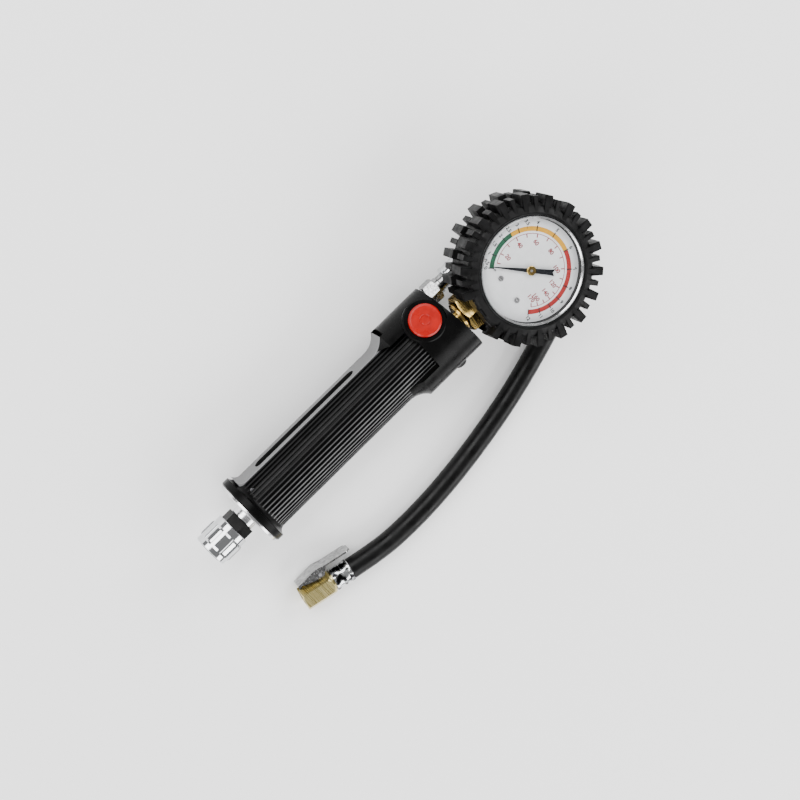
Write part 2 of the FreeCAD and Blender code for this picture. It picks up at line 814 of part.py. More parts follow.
# ---------------------------------------------------------------- the gauge

def gauge_round(label, outline):
    return turned(label, outline, s.gauge_place, s.gauge_side, 0, gauge_up)


def gauge_point(x, y):
    """Where a point of the dial's own frame lies; its X axis points to dial up."""
    along, across = math.cos(turn_angle), math.sin(turn_angle)
    return (s.gauge_place + x * along - y * across, s.gauge_side + x * across + y * along)


def gauge_post(radius, low, high, x=0, y=0):
    place_x, place_y = gauge_point(x, y)
    return cylinder(radius, high - low, place_x, place_y, low)


def gauge_block(x, y, z):
    (x_low, x_high), (y_low, y_high), (z_low, z_high) = x, y, z
    place_x, place_y = gauge_point(x_low, y_low)
    return box(x_high - x_low, y_high - y_low, z_high - z_low, place_x, place_y, z_low,
               gauge_flat)


def make_case():
    case, wall = s.case_radius, s.case_wall
    rim = s.gauge_depth
    shell = gauge_round("case_shell", [
        (0, 0), (0, case - 1.5), (1.5, case, 1.5), (rim, case), (rim, case - wall),
        (wall, case - wall), (wall, 0),
    ])
    bezel = gauge_round("gauge_bezel", [
        (rim - 4.5, case), (rim - 4.5, case + 0.7), (glass_top - 0.4, s.bezel_radius),
        (bezel_top, s.bezel_radius - 0.9, 1.1), (bezel_top, s.window_radius + 0.7),
        (glass_top, s.window_radius), (glass_top, case - 0.1), (rim, case - 0.1), (rim, case),
    ])
    return [
        cut("gauge_case", shell, gauge_line(s.port_radius, 15, 20)),
        bezel,
        gauge_round("gauge_glass", [
            (glass_low, 0), (glass_low, case - 0.1), (glass_top, case - 0.1), (glass_top, 0)]),
        gauge_round("glass_gasket", [
            (rim, s.window_radius), (rim, case - 0.1), (glass_low, case - 0.1),
            (glass_low, s.window_radius)]),
    ]


def make_gauge_inlet():
    """Nipple, washer and brass nut between head and gauge, and the stem inside."""
    nut_start = s.gauge_place - s.nut_start
    nut_end = nut_start - s.nut_length
    socket = gauge_block((-27.5, -12.0), (-s.port_radius, s.port_radius),
                         (s.coil_height - 3.5, s.coil_height + 4.5))
    shank = gauge_line(s.port_radius, 24, nut_start - 3.0 - 24)
    bore = gauge_line(1.6, 20, 30)
    x, y = gauge_point(0, 0)
    hexagonal = hexagon(s.nut_flats, s.nut_length, x - nut_end * math.cos(turn_angle),
                        y - nut_end * math.sin(turn_angle), s.port_height,
                        gauge_flat * AGAINST_X)
    corner = s.nut_flats * FLATS_TO_CORNERS
    rounded = gauge_turned("nut_round", [
        (0, 0), (0, corner - 1.3), (1.2, corner), (s.nut_length - 1.6, corner),
        (s.nut_length, corner - 2.2), (s.nut_length, 0),
    ], nut_end)
    nut = cut("gauge_nut", common("nut_solid", hexagonal, rounded),
              gauge_line(s.port_radius, nut_end - 1, s.nut_length - 2.0),
              gauge_line(s.nipple_radius, nut_end - 1, 20))
    washer = gauge_turned("gauge_washer", [
        (0, s.nipple_radius), (0, 8.4), (0.4, 8.8), (1.0, 8.8), (1.0, 8.0), (1.5, 8.0),
        (1.5, s.nipple_radius),
    ], nut_start)
    nipple_start = nut_start - 2.9
    nipple_length = port_depth - nipple_start
    nipple = gauge_turned("gauge_nipple", [
        (0, 1.6), (0, s.nipple_radius), (nipple_length, s.nipple_radius), (nipple_length, 1.6),
    ], nipple_start)
    return [cut("gauge_stem", fuse("stem_solid", socket, shank), bore), nut, washer, nipple]


def make_coil_tube():
    """The curved pressure tube, its tip and the link to the toothed sector."""
    radius, half = s.coil_radius, s.coil_width / 2
    low, high = s.coil_height - 3.4, s.coil_height + 4.4
    round_off = 0.9
    section = [
        (low, radius - half + round_off), (low, radius + half - round_off),
        (low + round_off, radius + half), (high - round_off, radius + half),
        (high, radius + half - round_off), (high, radius - half + round_off),
        (high - round_off, radius - half), (low + round_off, radius - half),
    ]
    body = turned("coil_sweep", section, s.gauge_place, s.gauge_side, 0,
                  gauge_flat * Rotation(Vector(0, 0, 1), COIL_END) * TURNED_TO_Z
                  * Rotation(Vector(1, 0, 0), -90), COIL_SWEEP)
    tip_x, tip_y = polar(radius, COIL_END + 3)
    tip = gauge_post(1.3, low + 1, link_height - 0.3, tip_x, tip_y)
    tail_x, tail_y = sector_tail
    length = math.dist((float(tip_x), float(tip_y)), sector_tail)
    direction = math.atan2(float(tip_y) - tail_y, float(tip_x) - tail_x)
    x, y = gauge_point(tail_x, tail_y)
    angle = Rotation(Vector(0, 0, 1), s.gauge_turn.value + math.degrees(direction))
    bar = put(box(length, 1.6, 0.6), *corner_of(x, y, -0.8, direction), link_height, angle)
    link = fuse("tube_link", bar,
                gauge_post(1.2, link_height, link_height + 0.6, tail_x, tail_y),
                gauge_post(0.6, link_height - 1.3, link_height + 0.6, tail_x, tail_y))
    return [fuse("bourdon_tube", body, tip), link]


def polar(radius, degrees):
    angle = math.radians(degrees)
    return radius * math.cos(angle), radius * math.sin(angle)


def corner_of(x, y, across, direction):
    """The corner of a bar whose middle line starts at (x, y) in the dial's frame."""
    angle = direction + turn_angle
    return x - across * math.sin(angle), y + across * math.cos(angle)


COIL_END = 259.0
COIL_SWEEP = 262.0
SECTOR_DIRECTION = 200.0
sector_height = s.coil_height + 7.0
link_height = sector_height + 1.1
pitch_radius = s.gear_module * s.pinion_teeth / 2
sector_radius = s.gear_module * s.sector_teeth / 2
centre_distance = float(pitch_radius + sector_radius)
sector_centre = polar(centre_distance, SECTOR_DIRECTION)
sector_tail = (sector_centre[0] + polar(7.0, 250.0)[0], sector_centre[1] + polar(7.0, 250.0)[1])


def gear_outline(module, teeth, first, last, offset):
    """Corners of straight-sided teeth number first to last round a pitch circle."""
    radius = module * teeth / 2
    pitch = 2 * math.pi / teeth
    points = []
    for tooth in range(first, last + 1):
        middle = offset + tooth * pitch
        for part, reach in ((-0.36, -1.2), (-0.13, 0.85), (0.13, 0.85), (0.36, -1.2)):
            angle = middle + part * pitch
            points.append(Vector((radius + reach * module) * math.cos(angle),
                                 (radius + reach * module) * math.sin(angle), 0))
    return points


def plate_of(points, low, high):
    face = Part.Face(Part.makePolygon(points + points[:1]))
    face.translate(Vector(0, 0, low))
    return face.extrude(Vector(0, 0, high - low))


def make_movement():
    module, low = s.gear_module.value, sector_height.value
    teeth, pinion_teeth = int(s.sector_teeth.value), int(s.pinion_teeth.value)
    contact = math.radians(SECTOR_DIRECTION - 180)
    pitch = 2 * math.pi / teeth
    # a sector space meets the pinion's tooth on the line of centres
    points = gear_outline(module, teeth, -8, 1, contact - pitch / 2)
    inner = [Vector(*polar(2.2, math.degrees(contact) + 75), 0),
             Vector(*polar(2.2, math.degrees(contact) - 115), 0)]
    wheel = plate_of(inner[1:] + points + inner[:1], low, low + 1)
    tail = Part.makeBox(7.0, 1.8, 1, Vector(0, -0.9, low))
    tail.rotate(Vector(0, 0, 0), Vector(0, 0, 1), 250)
    hub = Part.makeCylinder(2.3, 1, Vector(0, 0, low))
    end = Part.makeCylinder(1.3, 1, Vector(*polar(7.0, 250), low))
    hole = Part.makeCylinder(0.65, 2, Vector(*polar(7.0, 250), low - 0.5))
    solid = wheel.fuse([tail, hub, end]).cut(hole).removeSplitter()
    x, y = gauge_point(*sector_centre)
    sector = shaped("sector_plate", solid, x, y, 0, gauge_flat)
    arbor = s.arbor_radius
    sector_node = fuse("sector_gear", sector, gauge_post(arbor, frame_low + 0.2, frame_high + 1,
                                                         *sector_centre))
    contact_side = math.radians(SECTOR_DIRECTION)
    pinion_points = gear_outline(module, pinion_teeth, 0, pinion_teeth - 1, contact_side)
    pinion = shaped("pinion_wheel", plate_of(pinion_points, low - 0.3, low + 1.3),
                    s.gauge_place, s.gauge_side, 0, gauge_flat)
    shaft = fuse("pointer_shaft", pinion, gauge_post(arbor, frame_low + 0.2, pointer_height + 0.9))
    return [sector_node, shaft, make_frame_plates()]


frame_low = s.coil_height + 4.6
frame_high = frame_low + 5.0
pointer_height = s.dial_height + 1.6


def make_frame_plates():
    thick = 1.2
    arbor_hole = s.arbor_radius + s.running_gap
    plates = [
        gauge_block((-21.5, 6), (-11, 11), (frame_low, frame_low + thick)),
        gauge_block((-21.5, 6), (-11, 11), (frame_high, frame_high + thick)),
    ]
    for x, y in ((-20.0, 5.0), (4.0, -9.0), (4.0, 9.0)):
        plates.append(gauge_post(1.3, frame_low, frame_high + thick, x, y))
    for x, y in screw_spots():
        plates.append(gauge_post(2.2, frame_high, s.dial_height, x, y))
    holes = [gauge_post(arbor_hole, frame_low - 1, frame_high + thick + 1),
             gauge_post(arbor_hole, frame_low - 1, frame_high + thick + 1, *sector_centre)]
    for x, y in screw_spots():
        holes.append(gauge_post(0.8, frame_high + 0.4, s.dial_height + 1, x, y))
    return cut("movement_frame", fuse("frame_solid", *plates), *holes)


def screw_spots():
    return [polar(18.4, 180 - 26), polar(18.4, 180 + 26)]


def make_dial():
    top = s.dial_height + s.dial_thickness
    plate = gauge_round("dial_plate", [
        (s.dial_height, 1.6), (s.dial_height, s.dial_radius), (top, s.dial_radius), (top, 1.6)])
    screws = []
    holes = []
    for x, y in screw_spots():
        holes.append(gauge_post(0.8, s.dial_height - 1, top + 1, x, y))
        shank = gauge_post(0.8, frame_high + 0.6, top, x, y)
        head = gauge_post(1.65, top, top + 0.7, x, y)
        across_x, across_y = x - 2, y - 0.25
        slot = gauge_block((across_x, across_x + 4), (across_y, across_y + 0.5),
                           (top + 0.35, top + 1))
        screws.append(cut("dial_screw", fuse("screw_solid", shank, head), slot))
    peg = polar(22.0, s.pointer_zero.value + 4.0)
    return [cut("dial", plate, *holes), fuse("dial_screws", *screws),
            named("stop_pin", gauge_post(0.6, top, pointer_height + 0.5, *peg))]


def make_pointer():
    low, thick = pointer_height.value, 0.4
    reach, tail = s.pointer_reach.value, s.pointer_tail.value
    points = [Vector(reach, 0.12, 0), Vector(0, 1.0, 0), Vector(-tail, 1.85, 0),
              Vector(-tail + 2.6, 0, 0), Vector(-tail, -1.85, 0), Vector(0, -1.0, 0),
              Vector(reach, -0.12, 0)]
    needle = plate_of(points, low, low + thick)
    disc = Part.makeCylinder(3.5, thick, Vector(0, 0, low))
    hole = Part.makeCylinder(s.arbor_radius.value, 2, Vector(0, 0, low - 0.5))
    turn = Rotation(Vector(0, 0, 1), s.gauge_turn.value + s.pointer_zero.value)
    pointer = shaped("pointer", needle.fuse(disc).cut(hole).removeSplitter(),
                     s.gauge_place, s.gauge_side, 0, turn)
    hub = gauge_round("pointer_hub", [
        (low + thick, s.arbor_radius), (low + thick, 2.8), (low + thick + 0.4, 2.8),
        (low + thick + 0.6, 2.5), (low + thick + 0.6, s.arbor_radius)])
    return [pointer, hub]


def make_boot():
    back, top, crown = s.boot_back, boot_top, s.boot_radius
    case = s.case_radius
    step = s.gauge_depth - 4.6
    collar = s.bezel_radius + s.boot_clearance
    body = gauge_round("boot_solid", [
        (back, case - 6), (back, crown - 4.5), (back + 4.5, crown, -4.8),
        (top - 4, crown), (top - 1.2, crown - 2.6, -4.6), (top, crown - 5), (top, collar + 0.4),
        (top - 0.5, collar), (step, collar), (step, case), (0, case), (0, case - 6),
    ])
    middle = (back + top) / 2
    lug, width = s.lug_radius, s.lug_width
    turn = 360 / s.lug_count.value / 2
    rows = [
        (0, middle + 1.6, top - 1.0, lug, width),
        (turn, middle + 4.2, top - 2.4, lug - 1.3, width - 2),
        (turn, back + 1.6, middle - 0.4, lug, width),
        (0, back + 3.4, middle - 2.6, lug - 1.3, width - 2),
    ]
    for angle, low, high, reach, breadth in rows:
        across = Vector(math.cos(math.radians(angle)), math.sin(math.radians(angle)), 0)
        corners = [(-1, crown - 1.2), (1, crown - 1.2), (0.84, reach), (-0.84, reach)]
        outline = [(side * breadth / 2 * across.x - radius * across.y,
                    side * breadth / 2 * across.y + radius * across.x)
                   for side, radius in corners]
        raise_round(body, outline, low, high, s.lug_count)
    opening = gauge_line(s.nut_flats * FLATS_TO_CORNERS + 0.8, case - 1, 20)
    band = gauge_round("lug_band", [
        (s.port_height, crown), (top + 1, crown), (top + 1, lug + 1), (s.port_height, lug + 1),
    ])
    clearing = common("lug_clearing", band, block(
        (head_end - 3, s.gauge_place - case), (s.gauge_side - 12.5, s.gauge_side + 12.5),
        (s.port_height, top + 1)))
    return [cut("gauge_boot", body, opening, clearing)]


# ------------------------------------------------------------ hose and chuck

HOSE_ROUTE = [
    (217.9, 14.6, -9.2), (239.9, 14.6, -9.2), (255.3, 6.9, -12.8), (265.5, -7.0, -16.0),
    (268.3, -24.0, -17.9), (263.0, -39.8, -18.2), (250.4, -51.4, -18.2), (224.0, -60.6, -18.2),
    (192.0, -70.2, -18.2), (160.0, -76.9, -18.2), (126.0, -81.8, -18.2),
    (96.0, -83.2, -17.9), (70.0, -81.6, -17.4), (49.5, -76.8, -17.4),
]


def hose_path():
    """Straight runs joined by tangent arcs, each as large as its runs allow."""
    points = [Vector(*point) for point in HOSE_ROUTE]
    edges = []
    place = points[0]
    for before, corner, after in zip(points, points[1:], points[2:]):
        back = (before - corner).normalize()
        ahead = (after - corner).normalize()
        turn = math.pi - back.getAngle(ahead)
        shorter = min((before - corner).Length, (after - corner).Length)
        tangent = 0.45 * shorter
        radius = tangent / math.tan(turn / 2)
        print("hose turn %5.1f degrees, radius %6.1f" % (math.degrees(turn), radius))
        first = corner + back * tangent
        last = corner + ahead * tangent
        to_centre = (back + ahead).normalize()
        centre = corner + to_centre * (radius / math.cos(turn / 2))
        middle = centre - to_centre * radius
        edges.append(Part.LineSegment(place, first).toShape())
        edges.append(Part.Arc(first, middle, last).toShape())
        place = last
    edges.append(Part.LineSegment(place, points[-1]).toShape())
    return Part.Wire(edges)


def make_hose():
    path = hose_path()
    start = Vector(*HOSE_ROUTE[0])
    ahead = Vector(*HOSE_ROUTE[1]) - start
    radius = s.hose_radius.value
    section = Part.Wire([Part.Circle(start, ahead, radius).toShape()])
    tube = path.makePipeShell([section], True, False, 2)
    expected = math.pi * radius ** 2 * path.Length
    print("hose length %.1f, volume ratio %.5f" % (path.Length, tube.Volume / expected))
    return [shaped("hose", tube)]


def make_hose_fitting():
    x, y, z = s.fitting_start, s.hose_port_side, s.hose_port_height
    corner = s.fitting_flats * FLATS_TO_CORNERS
    length = s.fitting_hex_length
    neck = length + 7.0
    end = neck + s.ferrule_length
    hexagonal = hexagon(s.fitting_flats, length, x, y, z, ALONG_X)
    rounded = turned("fitting_round", [
        (0, 0), (0, corner - 1), (0.8, corner), (length - 0.8, corner), (length, corner - 1),
        (length, 0)], x, y, z)
    core = turned("fitting_core", [
        (-20, 0), (-20, s.hose_nipple_radius), (0.5, s.hose_nipple_radius), (0.5, 5.2),
        (length + 2, 5.2), (length + 2.6, 4.6), (neck, 4.6), (neck, 3.0), (end, 3.0), (end, 0)],
        x, y, z)
    bore = cylinder(1.6, 34, x - 21, y, z, ALONG_X)
    fitting = cut("hose_fitting", fuse("fitting_solid", common("fitting_hex", hexagonal, rounded),
                                       core), bore)
    return [fitting, make_ferrule("head_ferrule", x + neck, y, z, None)]


def make_ferrule(label, x, y, z, turn):
    length, outer = s.ferrule_length, s.ferrule_radius
    waist = outer - 0.35
    return turned(label, [
        (0, 3.0), (0, outer - 0.5), (0.5, outer), (2.0, outer), (2.4, waist),
        (length / 2 - 0.9, waist), (length / 2 - 0.5, outer), (length / 2 + 0.5, outer),
        (length / 2 + 0.9, waist), (length - 2.4, waist), (length - 2.0, outer),
        (length - 0.5, outer), (length, outer - 0.5), (length, 3.0)], x, y, z, turn)


chuck_base = Vector(*HOSE_ROUTE[-1])
chuck_ahead = chuck_base - Vector(*HOSE_ROUTE[-2])
chuck_angle = math.degrees(math.atan2(chuck_ahead.y, chuck_ahead.x))
chuck_turn = Rotation(Vector(0, 0, 1), chuck_angle)
chuck_frame = Placement(chuck_base, chuck_turn)


def on_chuck(thing):
    """Move a thing built along +X at the origin to the end of the hose."""
    inner = thing.Placement
    thing.Placement = chuck_frame.multiply(inner)
    return thing


def chuck_box(x, y, z):
    (x_low, x_high), (y_low, y_high), (z_low, z_high) = x, y, z
    thing = doc.addObject("Part::Box", "Box")
    bind(thing, Length=x_high - x_low, Width=y_high - y_low, Height=z_high - z_low)
    thing.Placement = Placement(Vector(float(x_low), float(y_low), float(z_low)), Rotation())
    return on_chuck(thing)


def chuck_rod(radius, length, x, y, z, turn=None):
    thing = doc.addObject("Part::Cylinder", "Rod")
    bind(thing, Radius=radius, Height=length)
    thing.Placement = Placement(Vector(float(x), float(y), float(z)), turn or Rotation())
    return on_chuck(thing)


def make_chuck():
    start = s.ferrule_length + 0.5
    end = start + s.chuck_length
    corner = s.chuck_flats * FLATS_TO_CORNERS
    bore, depth = s.chuck_bore_radius, s.chuck_bore_depth
    hexagonal = doc.addObject("Part::Prism", "Hexagon")
    hexagonal.Polygon = 6
    bind(hexagonal, Circumradius=corner, Height=s.chuck_length)
    hexagonal.Placement = Placement(Vector(float(start), 0, 0),
                                    ALONG_X * Rotation(Vector(0, 0, 1), 30))
    on_chuck(hexagonal)
    rounded = on_chuck(turned("chuck_round", [
        (start, 0), (start, corner - 1.6), (start + 2.4, corner, -6.0),
        (end - 0.6, corner), (end, corner - 0.9), (end, 0)]))
    barb = on_chuck(turned("chuck_barb", [
        (0, 0), (0, 3.0), (s.ferrule_length, 3.0), (s.ferrule_length, 5.2), (start + 0.5, 5.2),
        (start + 0.5, 0)]))
    lug = chuck_box((s.clip_pivot_place - 2.2, s.clip_pivot_place + 2.2),
                    (-s.clip_pivot_side - 2.0, -6.0), (-1.8, 1.8))
    tools = [
        chuck_rod(bore, depth + 1, end - depth, 0, 0, ALONG_X),
        chuck_rod(bore + 0.6, 2.5, end - depth, 0, 0, ALONG_X),
        chuck_rod(1.5, end, -1, 0, 0, ALONG_X),
        chuck_box((end - 4.4, end + 1), (-corner - 1, -3.0), (-2.2, 2.2)),
        chuck_rod(1.0, 4, s.clip_pivot_place, -s.clip_pivot_side, -2),
    ]
    body = cut("chuck_body", fuse("chuck_solid", common("chuck_hex", hexagonal, rounded), barb,
                                  lug), *tools)
    seal_low = end - depth
    seal = on_chuck(ring("chuck_seal", seal_low, seal_low + 2.4, 1.9, bore + 0.6))
    depressor = on_chuck(turned("valve_depressor", [
        (seal_low - 3.0, 0), (seal_low - 3.0, 1.45), (seal_low + 0.2, 1.45),
        (seal_low + 0.4, 0.9), (seal_low + 2.2, 0.9), (seal_low + 2.2, 0)]))
    ferrule = on_chuck(make_ferrule("chuck_ferrule", 0, 0, 0, None))
    return [body, seal, depressor, ferrule] + make_clip(end)


def make_clip(end):
    """The thumb clip: a bent sheet with two ears, a jaw, its pin and its spring."""
    pivot_x, pivot_y = s.clip_pivot_place, -s.clip_pivot_side
    half, sheet_gauge = s.clip_width / 2, s.clip_sheet
    tab_end = -5.0
    outer = pivot_y - 3.6
    sheet = padded("clip_sheet", "XY_Plane", [
        (tab_end, outer), (pivot_x - 3, outer), (pivot_x + 1, outer - 0.6),
        (end - 1, outer + 2.6), (end - 1, pivot_y + 4.4), (end - 2.6, pivot_y + 4.4),
        (end - 2.4, outer + 2.6 + sheet_gauge), (pivot_x + 1, outer - 0.6 + sheet_gauge),
        (pivot_x - 3, outer + sheet_gauge), (tab_end, outer + sheet_gauge),
    ], -half, half)
    on_chuck(sheet)
    ears = []
    for low in (-half, half - sheet_gauge):
        ear = padded("clip_ear", "XY_Plane", [
            (pivot_x - 6, outer), (pivot_x + 1, outer - 0.6), (end - 3, outer + 2.2),
            (end - 3, outer + 3.6), (pivot_x + 4, pivot_y + 1.9), (pivot_x - 2, pivot_y + 1.9),
        ], low, low + sheet_gauge)
        ears.append(on_chuck(ear))
    trim = [
        chuck_box((tab_end - 1, tab_end + 3), (outer - 2, outer + 3), (half - 2.0, half + 1)),
        chuck_box((tab_end - 1, tab_end + 3), (outer - 2, outer + 3), (-half - 1, -half + 2.0)),
        chuck_box((end - 3.5, end + 1), (outer + 2.6 + sheet_gauge, pivot_y + 6),
                  (1.8, half + 1)),
        chuck_box((end - 3.5, end + 1), (outer + 2.6 + sheet_gauge, pivot_y + 6),
                  (-half - 1, -1.8)),
        chuck_rod(1.0 + s.running_gap, 2 * half + 2, pivot_x, pivot_y, -half - 1),
    ]
    rounds = [chuck_rod(2.0, sheet_gauge, tab_end + 3, outer, side * (half - 2.0), ALONG_Y)
              for side in (1, -1)]
    tab_middle = chuck_box((tab_end + 1, tab_end + 3), (outer, outer + sheet_gauge),
                           (-half + 2.0, half - 2.0))
    clip = fuse("chuck_clip", cut("clip_solid", fuse("clip_blank", sheet, *ears), *trim),
                tab_middle, *rounds)
    pin = named("clip_pin", chuck_rod(1.0, 2 * half + 1, pivot_x, pivot_y, -half - 0.5))
    spring = on_chuck(coil_spring("clip_spring", 1.75, 0.4, 2.4, 3, float(pivot_x), float(pivot_y), 1.9))
    return [clip, pin, spring]


# --------------------------------------------------------- build and export

def build_all():
    nodes = []
    for group in (make_coupler, make_sleeve, make_inlet, make_handle, make_lever,
                  make_inflate_valve, make_button, make_case, make_gauge_inlet,
                  make_coil_tube, make_movement, make_dial, make_pointer, make_boot,
                  make_hose, make_hose_fitting, make_chuck):
        nodes.extend(group())
    nodes.append(make_block())
    return nodes


def export_all(nodes):
    doc.recompute()
    for thing in doc.Objects:
        if "Invalid" in thing.State or "Error" in thing.State:
            raise RuntimeError("%s (%s) did not build: %s" % (thing.Name, thing.Label,
                                                              thing.getStatusString()))
    for node in nodes:
        if node.Shape.isNull() or not node.Shape.isValid():
            raise RuntimeError("%s has no valid shape" % node.Label)
    os.makedirs("parts", exist_ok=True)
    for node in nodes:
        node.Shape.exportStep("parts/%s.step" % node.Label)
    print("%d nodes written" % len(nodes))


export_all(build_all())
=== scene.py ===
"""Finishes, hose, dial print, needle and boot ridges of a hand-held tyre inflator.

They go over its CAD frame, with which they share their origin and axes: X runs along the
handle to the gauge, Y to the lever and Z out of the dial.  Lengths are in metres, or in
millimetres where MM is put to them.
"""
import json
import math

import bmesh
import bpy
from mathutils import Matrix, Vector


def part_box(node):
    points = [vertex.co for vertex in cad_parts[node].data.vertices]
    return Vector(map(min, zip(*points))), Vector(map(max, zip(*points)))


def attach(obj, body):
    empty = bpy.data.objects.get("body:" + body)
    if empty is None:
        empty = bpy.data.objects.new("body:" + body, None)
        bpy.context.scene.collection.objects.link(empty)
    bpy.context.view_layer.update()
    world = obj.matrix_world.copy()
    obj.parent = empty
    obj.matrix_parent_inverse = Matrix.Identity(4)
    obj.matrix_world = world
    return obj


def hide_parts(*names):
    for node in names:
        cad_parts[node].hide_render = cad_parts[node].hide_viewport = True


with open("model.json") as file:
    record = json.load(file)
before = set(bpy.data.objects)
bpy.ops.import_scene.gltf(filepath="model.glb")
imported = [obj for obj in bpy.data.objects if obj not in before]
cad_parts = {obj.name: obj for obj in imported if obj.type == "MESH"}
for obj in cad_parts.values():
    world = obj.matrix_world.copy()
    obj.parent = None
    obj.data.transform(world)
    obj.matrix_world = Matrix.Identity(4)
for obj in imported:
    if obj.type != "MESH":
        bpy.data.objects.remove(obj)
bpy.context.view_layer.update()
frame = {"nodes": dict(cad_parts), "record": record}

MM = 0.001
nodes = frame["nodes"]


# ------------------------------------------------------------- making pieces

def linked(name, data):
    """An object of the scene that holds a mesh, a curve, a camera or a lamp."""
    piece = bpy.data.objects.new(name, data)
    bpy.context.scene.collection.objects.link(piece)
    return piece


def mesh_from(name, build):
    """A mesh object whose faces build(bm) makes, with its normals turned outwards."""
    bm = bmesh.new()
    build(bm)
    bmesh.ops.recalc_face_normals(bm, faces=bm.faces)
    mesh = bpy.data.meshes.new(name)
    bm.to_mesh(mesh)
    bm.free()
    return linked(name, mesh)


def plain_mesh(piece):
    """The mesh that the piece has once its curves and modifiers are worked in."""
    evaluated = piece.evaluated_get(bpy.context.evaluated_depsgraph_get())
    return bpy.data.meshes.new_from_object(evaluated)


def fit_to(piece, body, finish):
    """The piece gets its finish and rides on a body."""
    piece.data.materials.clear()
    piece.data.materials.append(finish)
    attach(piece, body)
    return piece


# ------------------------------------------------------------------ finishes

class Finish:
    """One surface finish: a principled shader and the patterns that vary it."""

    def __init__(self, name, colour, rough, metal=0.0, **sockets):
        self.material = bpy.data.materials.new(name)
        self.material.use_nodes = True
        self.tree = self.material.node_tree
        self.shader = self.tree.nodes["Principled BSDF"]
        self.set("Base Color", (*colour, 1))
        self.set("Roughness", rough)
        self.set("Metallic", metal)
        for socket, value in sockets.items():
            self.set(socket.replace("_", " "), value)
        self.height = None

    def set(self, socket, value):
        self.shader.inputs[socket].default_value = value

    def node(self, kind, **settings):
        made = self.tree.nodes.new(kind)
        for name, value in settings.items():
            setattr(made, name, value)
        return made

    def join(self, source, target):
        self.tree.links.new(source, target)

    def axes(self):
        """The piece's own X, Y and Z as three values in metres."""
        split = self.node("ShaderNodeSeparateXYZ")
        self.join(self.place(), split.inputs[0])
        return split.outputs

    def place(self, turn=0.0, stretch=(1, 1, 1)):
        """The piece's own coordinates, turned about Z by some degrees, then stretched."""
        mapping = self.node("ShaderNodeMapping")
        self.join(self.node("ShaderNodeTexCoord").outputs["Object"], mapping.inputs["Vector"])
        mapping.inputs["Rotation"].default_value = (0, 0, math.radians(turn))
        mapping.inputs["Scale"].default_value = stretch
        return mapping.outputs["Vector"]

    def noise(self, size, place=None, detail=4.0):
        """Soft random patches about size millimetres across."""
        pattern = self.node("ShaderNodeTexNoise")
        self.join(place or self.place(), pattern.inputs["Vector"])
        pattern.inputs["Scale"].default_value = 1 / (size * MM)
        pattern.inputs["Detail"].default_value = detail
        pattern.inputs["Roughness"].default_value = 0.55
        return pattern.outputs["Fac"]

    def ranged(self, value, low, high, start=0.35, end=0.65):
        """Runs from low to high while the value runs from start to end."""
        span = self.node("ShaderNodeMapRange")
        self.join(value, span.inputs["Value"])
        span.inputs["From Min"].default_value = start
        span.inputs["From Max"].default_value = end
        span.inputs["To Min"].default_value = low
        span.inputs["To Max"].default_value = high
        return span.outputs["Result"]

    def calculate(self, operation, first, second=None):
        """One step of arithmetic on patterns or plain numbers."""
        step = self.node("ShaderNodeMath", operation=operation)
        for socket, value in zip(step.inputs, (first, second)):
            if isinstance(value, bpy.types.NodeSocket):
                self.join(value, socket)
            elif value is not None:
                socket.default_value = value
        return step.outputs[0]

    def tint(self, value, first, second, start=0.35, end=0.65):
        """The base colour goes from first to second as the pattern rises."""
        blend = self.node("ShaderNodeMix", data_type="RGBA")
        self.join(self.ranged(value, 0, 1, start, end), blend.inputs["Factor"])
        blend.inputs["A"].default_value = (*first, 1)
        blend.inputs["B"].default_value = (*second, 1)
        self.join(blend.outputs["Result"], self.shader.inputs["Base Color"])

    def gloss(self, value, low, high):
        """The roughness goes from low to high as the pattern rises."""
        self.join(self.ranged(value, low, high), self.shader.inputs["Roughness"])

    def relief(self, value, depth):
        """A bump depth millimetres high, on top of any bump before it."""
        bump = self.node("ShaderNodeBump")
        bump.inputs["Distance"].default_value = depth * MM
        self.join(value, bump.inputs["Height"])
        if self.height is not None:
            self.join(self.height, bump.inputs["Normal"])
        self.height = bump.outputs["Normal"]
        self.join(self.height, self.shader.inputs["Normal"])

    def grain(self, size, depth, rough_low, rough_high):
        """Fine grain with slightly uneven gloss."""
        self.relief(self.noise(size, detail=2.0), depth)
        self.gloss(self.noise(size * 18, detail=3.0), rough_low, rough_high)
        return self


DEEP_BLACK = (0.003, 0.003, 0.003)


def moulded(name):
    """Black moulded plastic with fine grain, before its colour varies."""
    finish = Finish(name, DEEP_BLACK, 0.30, Specular_IOR_Level=0.06)
    return finish.grain(0.35, 0.010, 0.22, 0.36)


def moulded_black():
    finish = moulded("moulded_black")
    finish.tint(finish.noise(14, detail=5.0), (0.0015, 0.0015, 0.0016), (0.0040, 0.0040, 0.0042))
    return finish.material


GRIP_RADIUS = 18.9
RIB_COUNT = 48
# Plain black of the ribs, and the pale colour of the painted highlight along their crests.
PLAIN_RIB_BLACK, CREST_PAINTED_HIGHLIGHT = (0.002, 0.002, 0.002), (0.15, 0.15, 0.152)


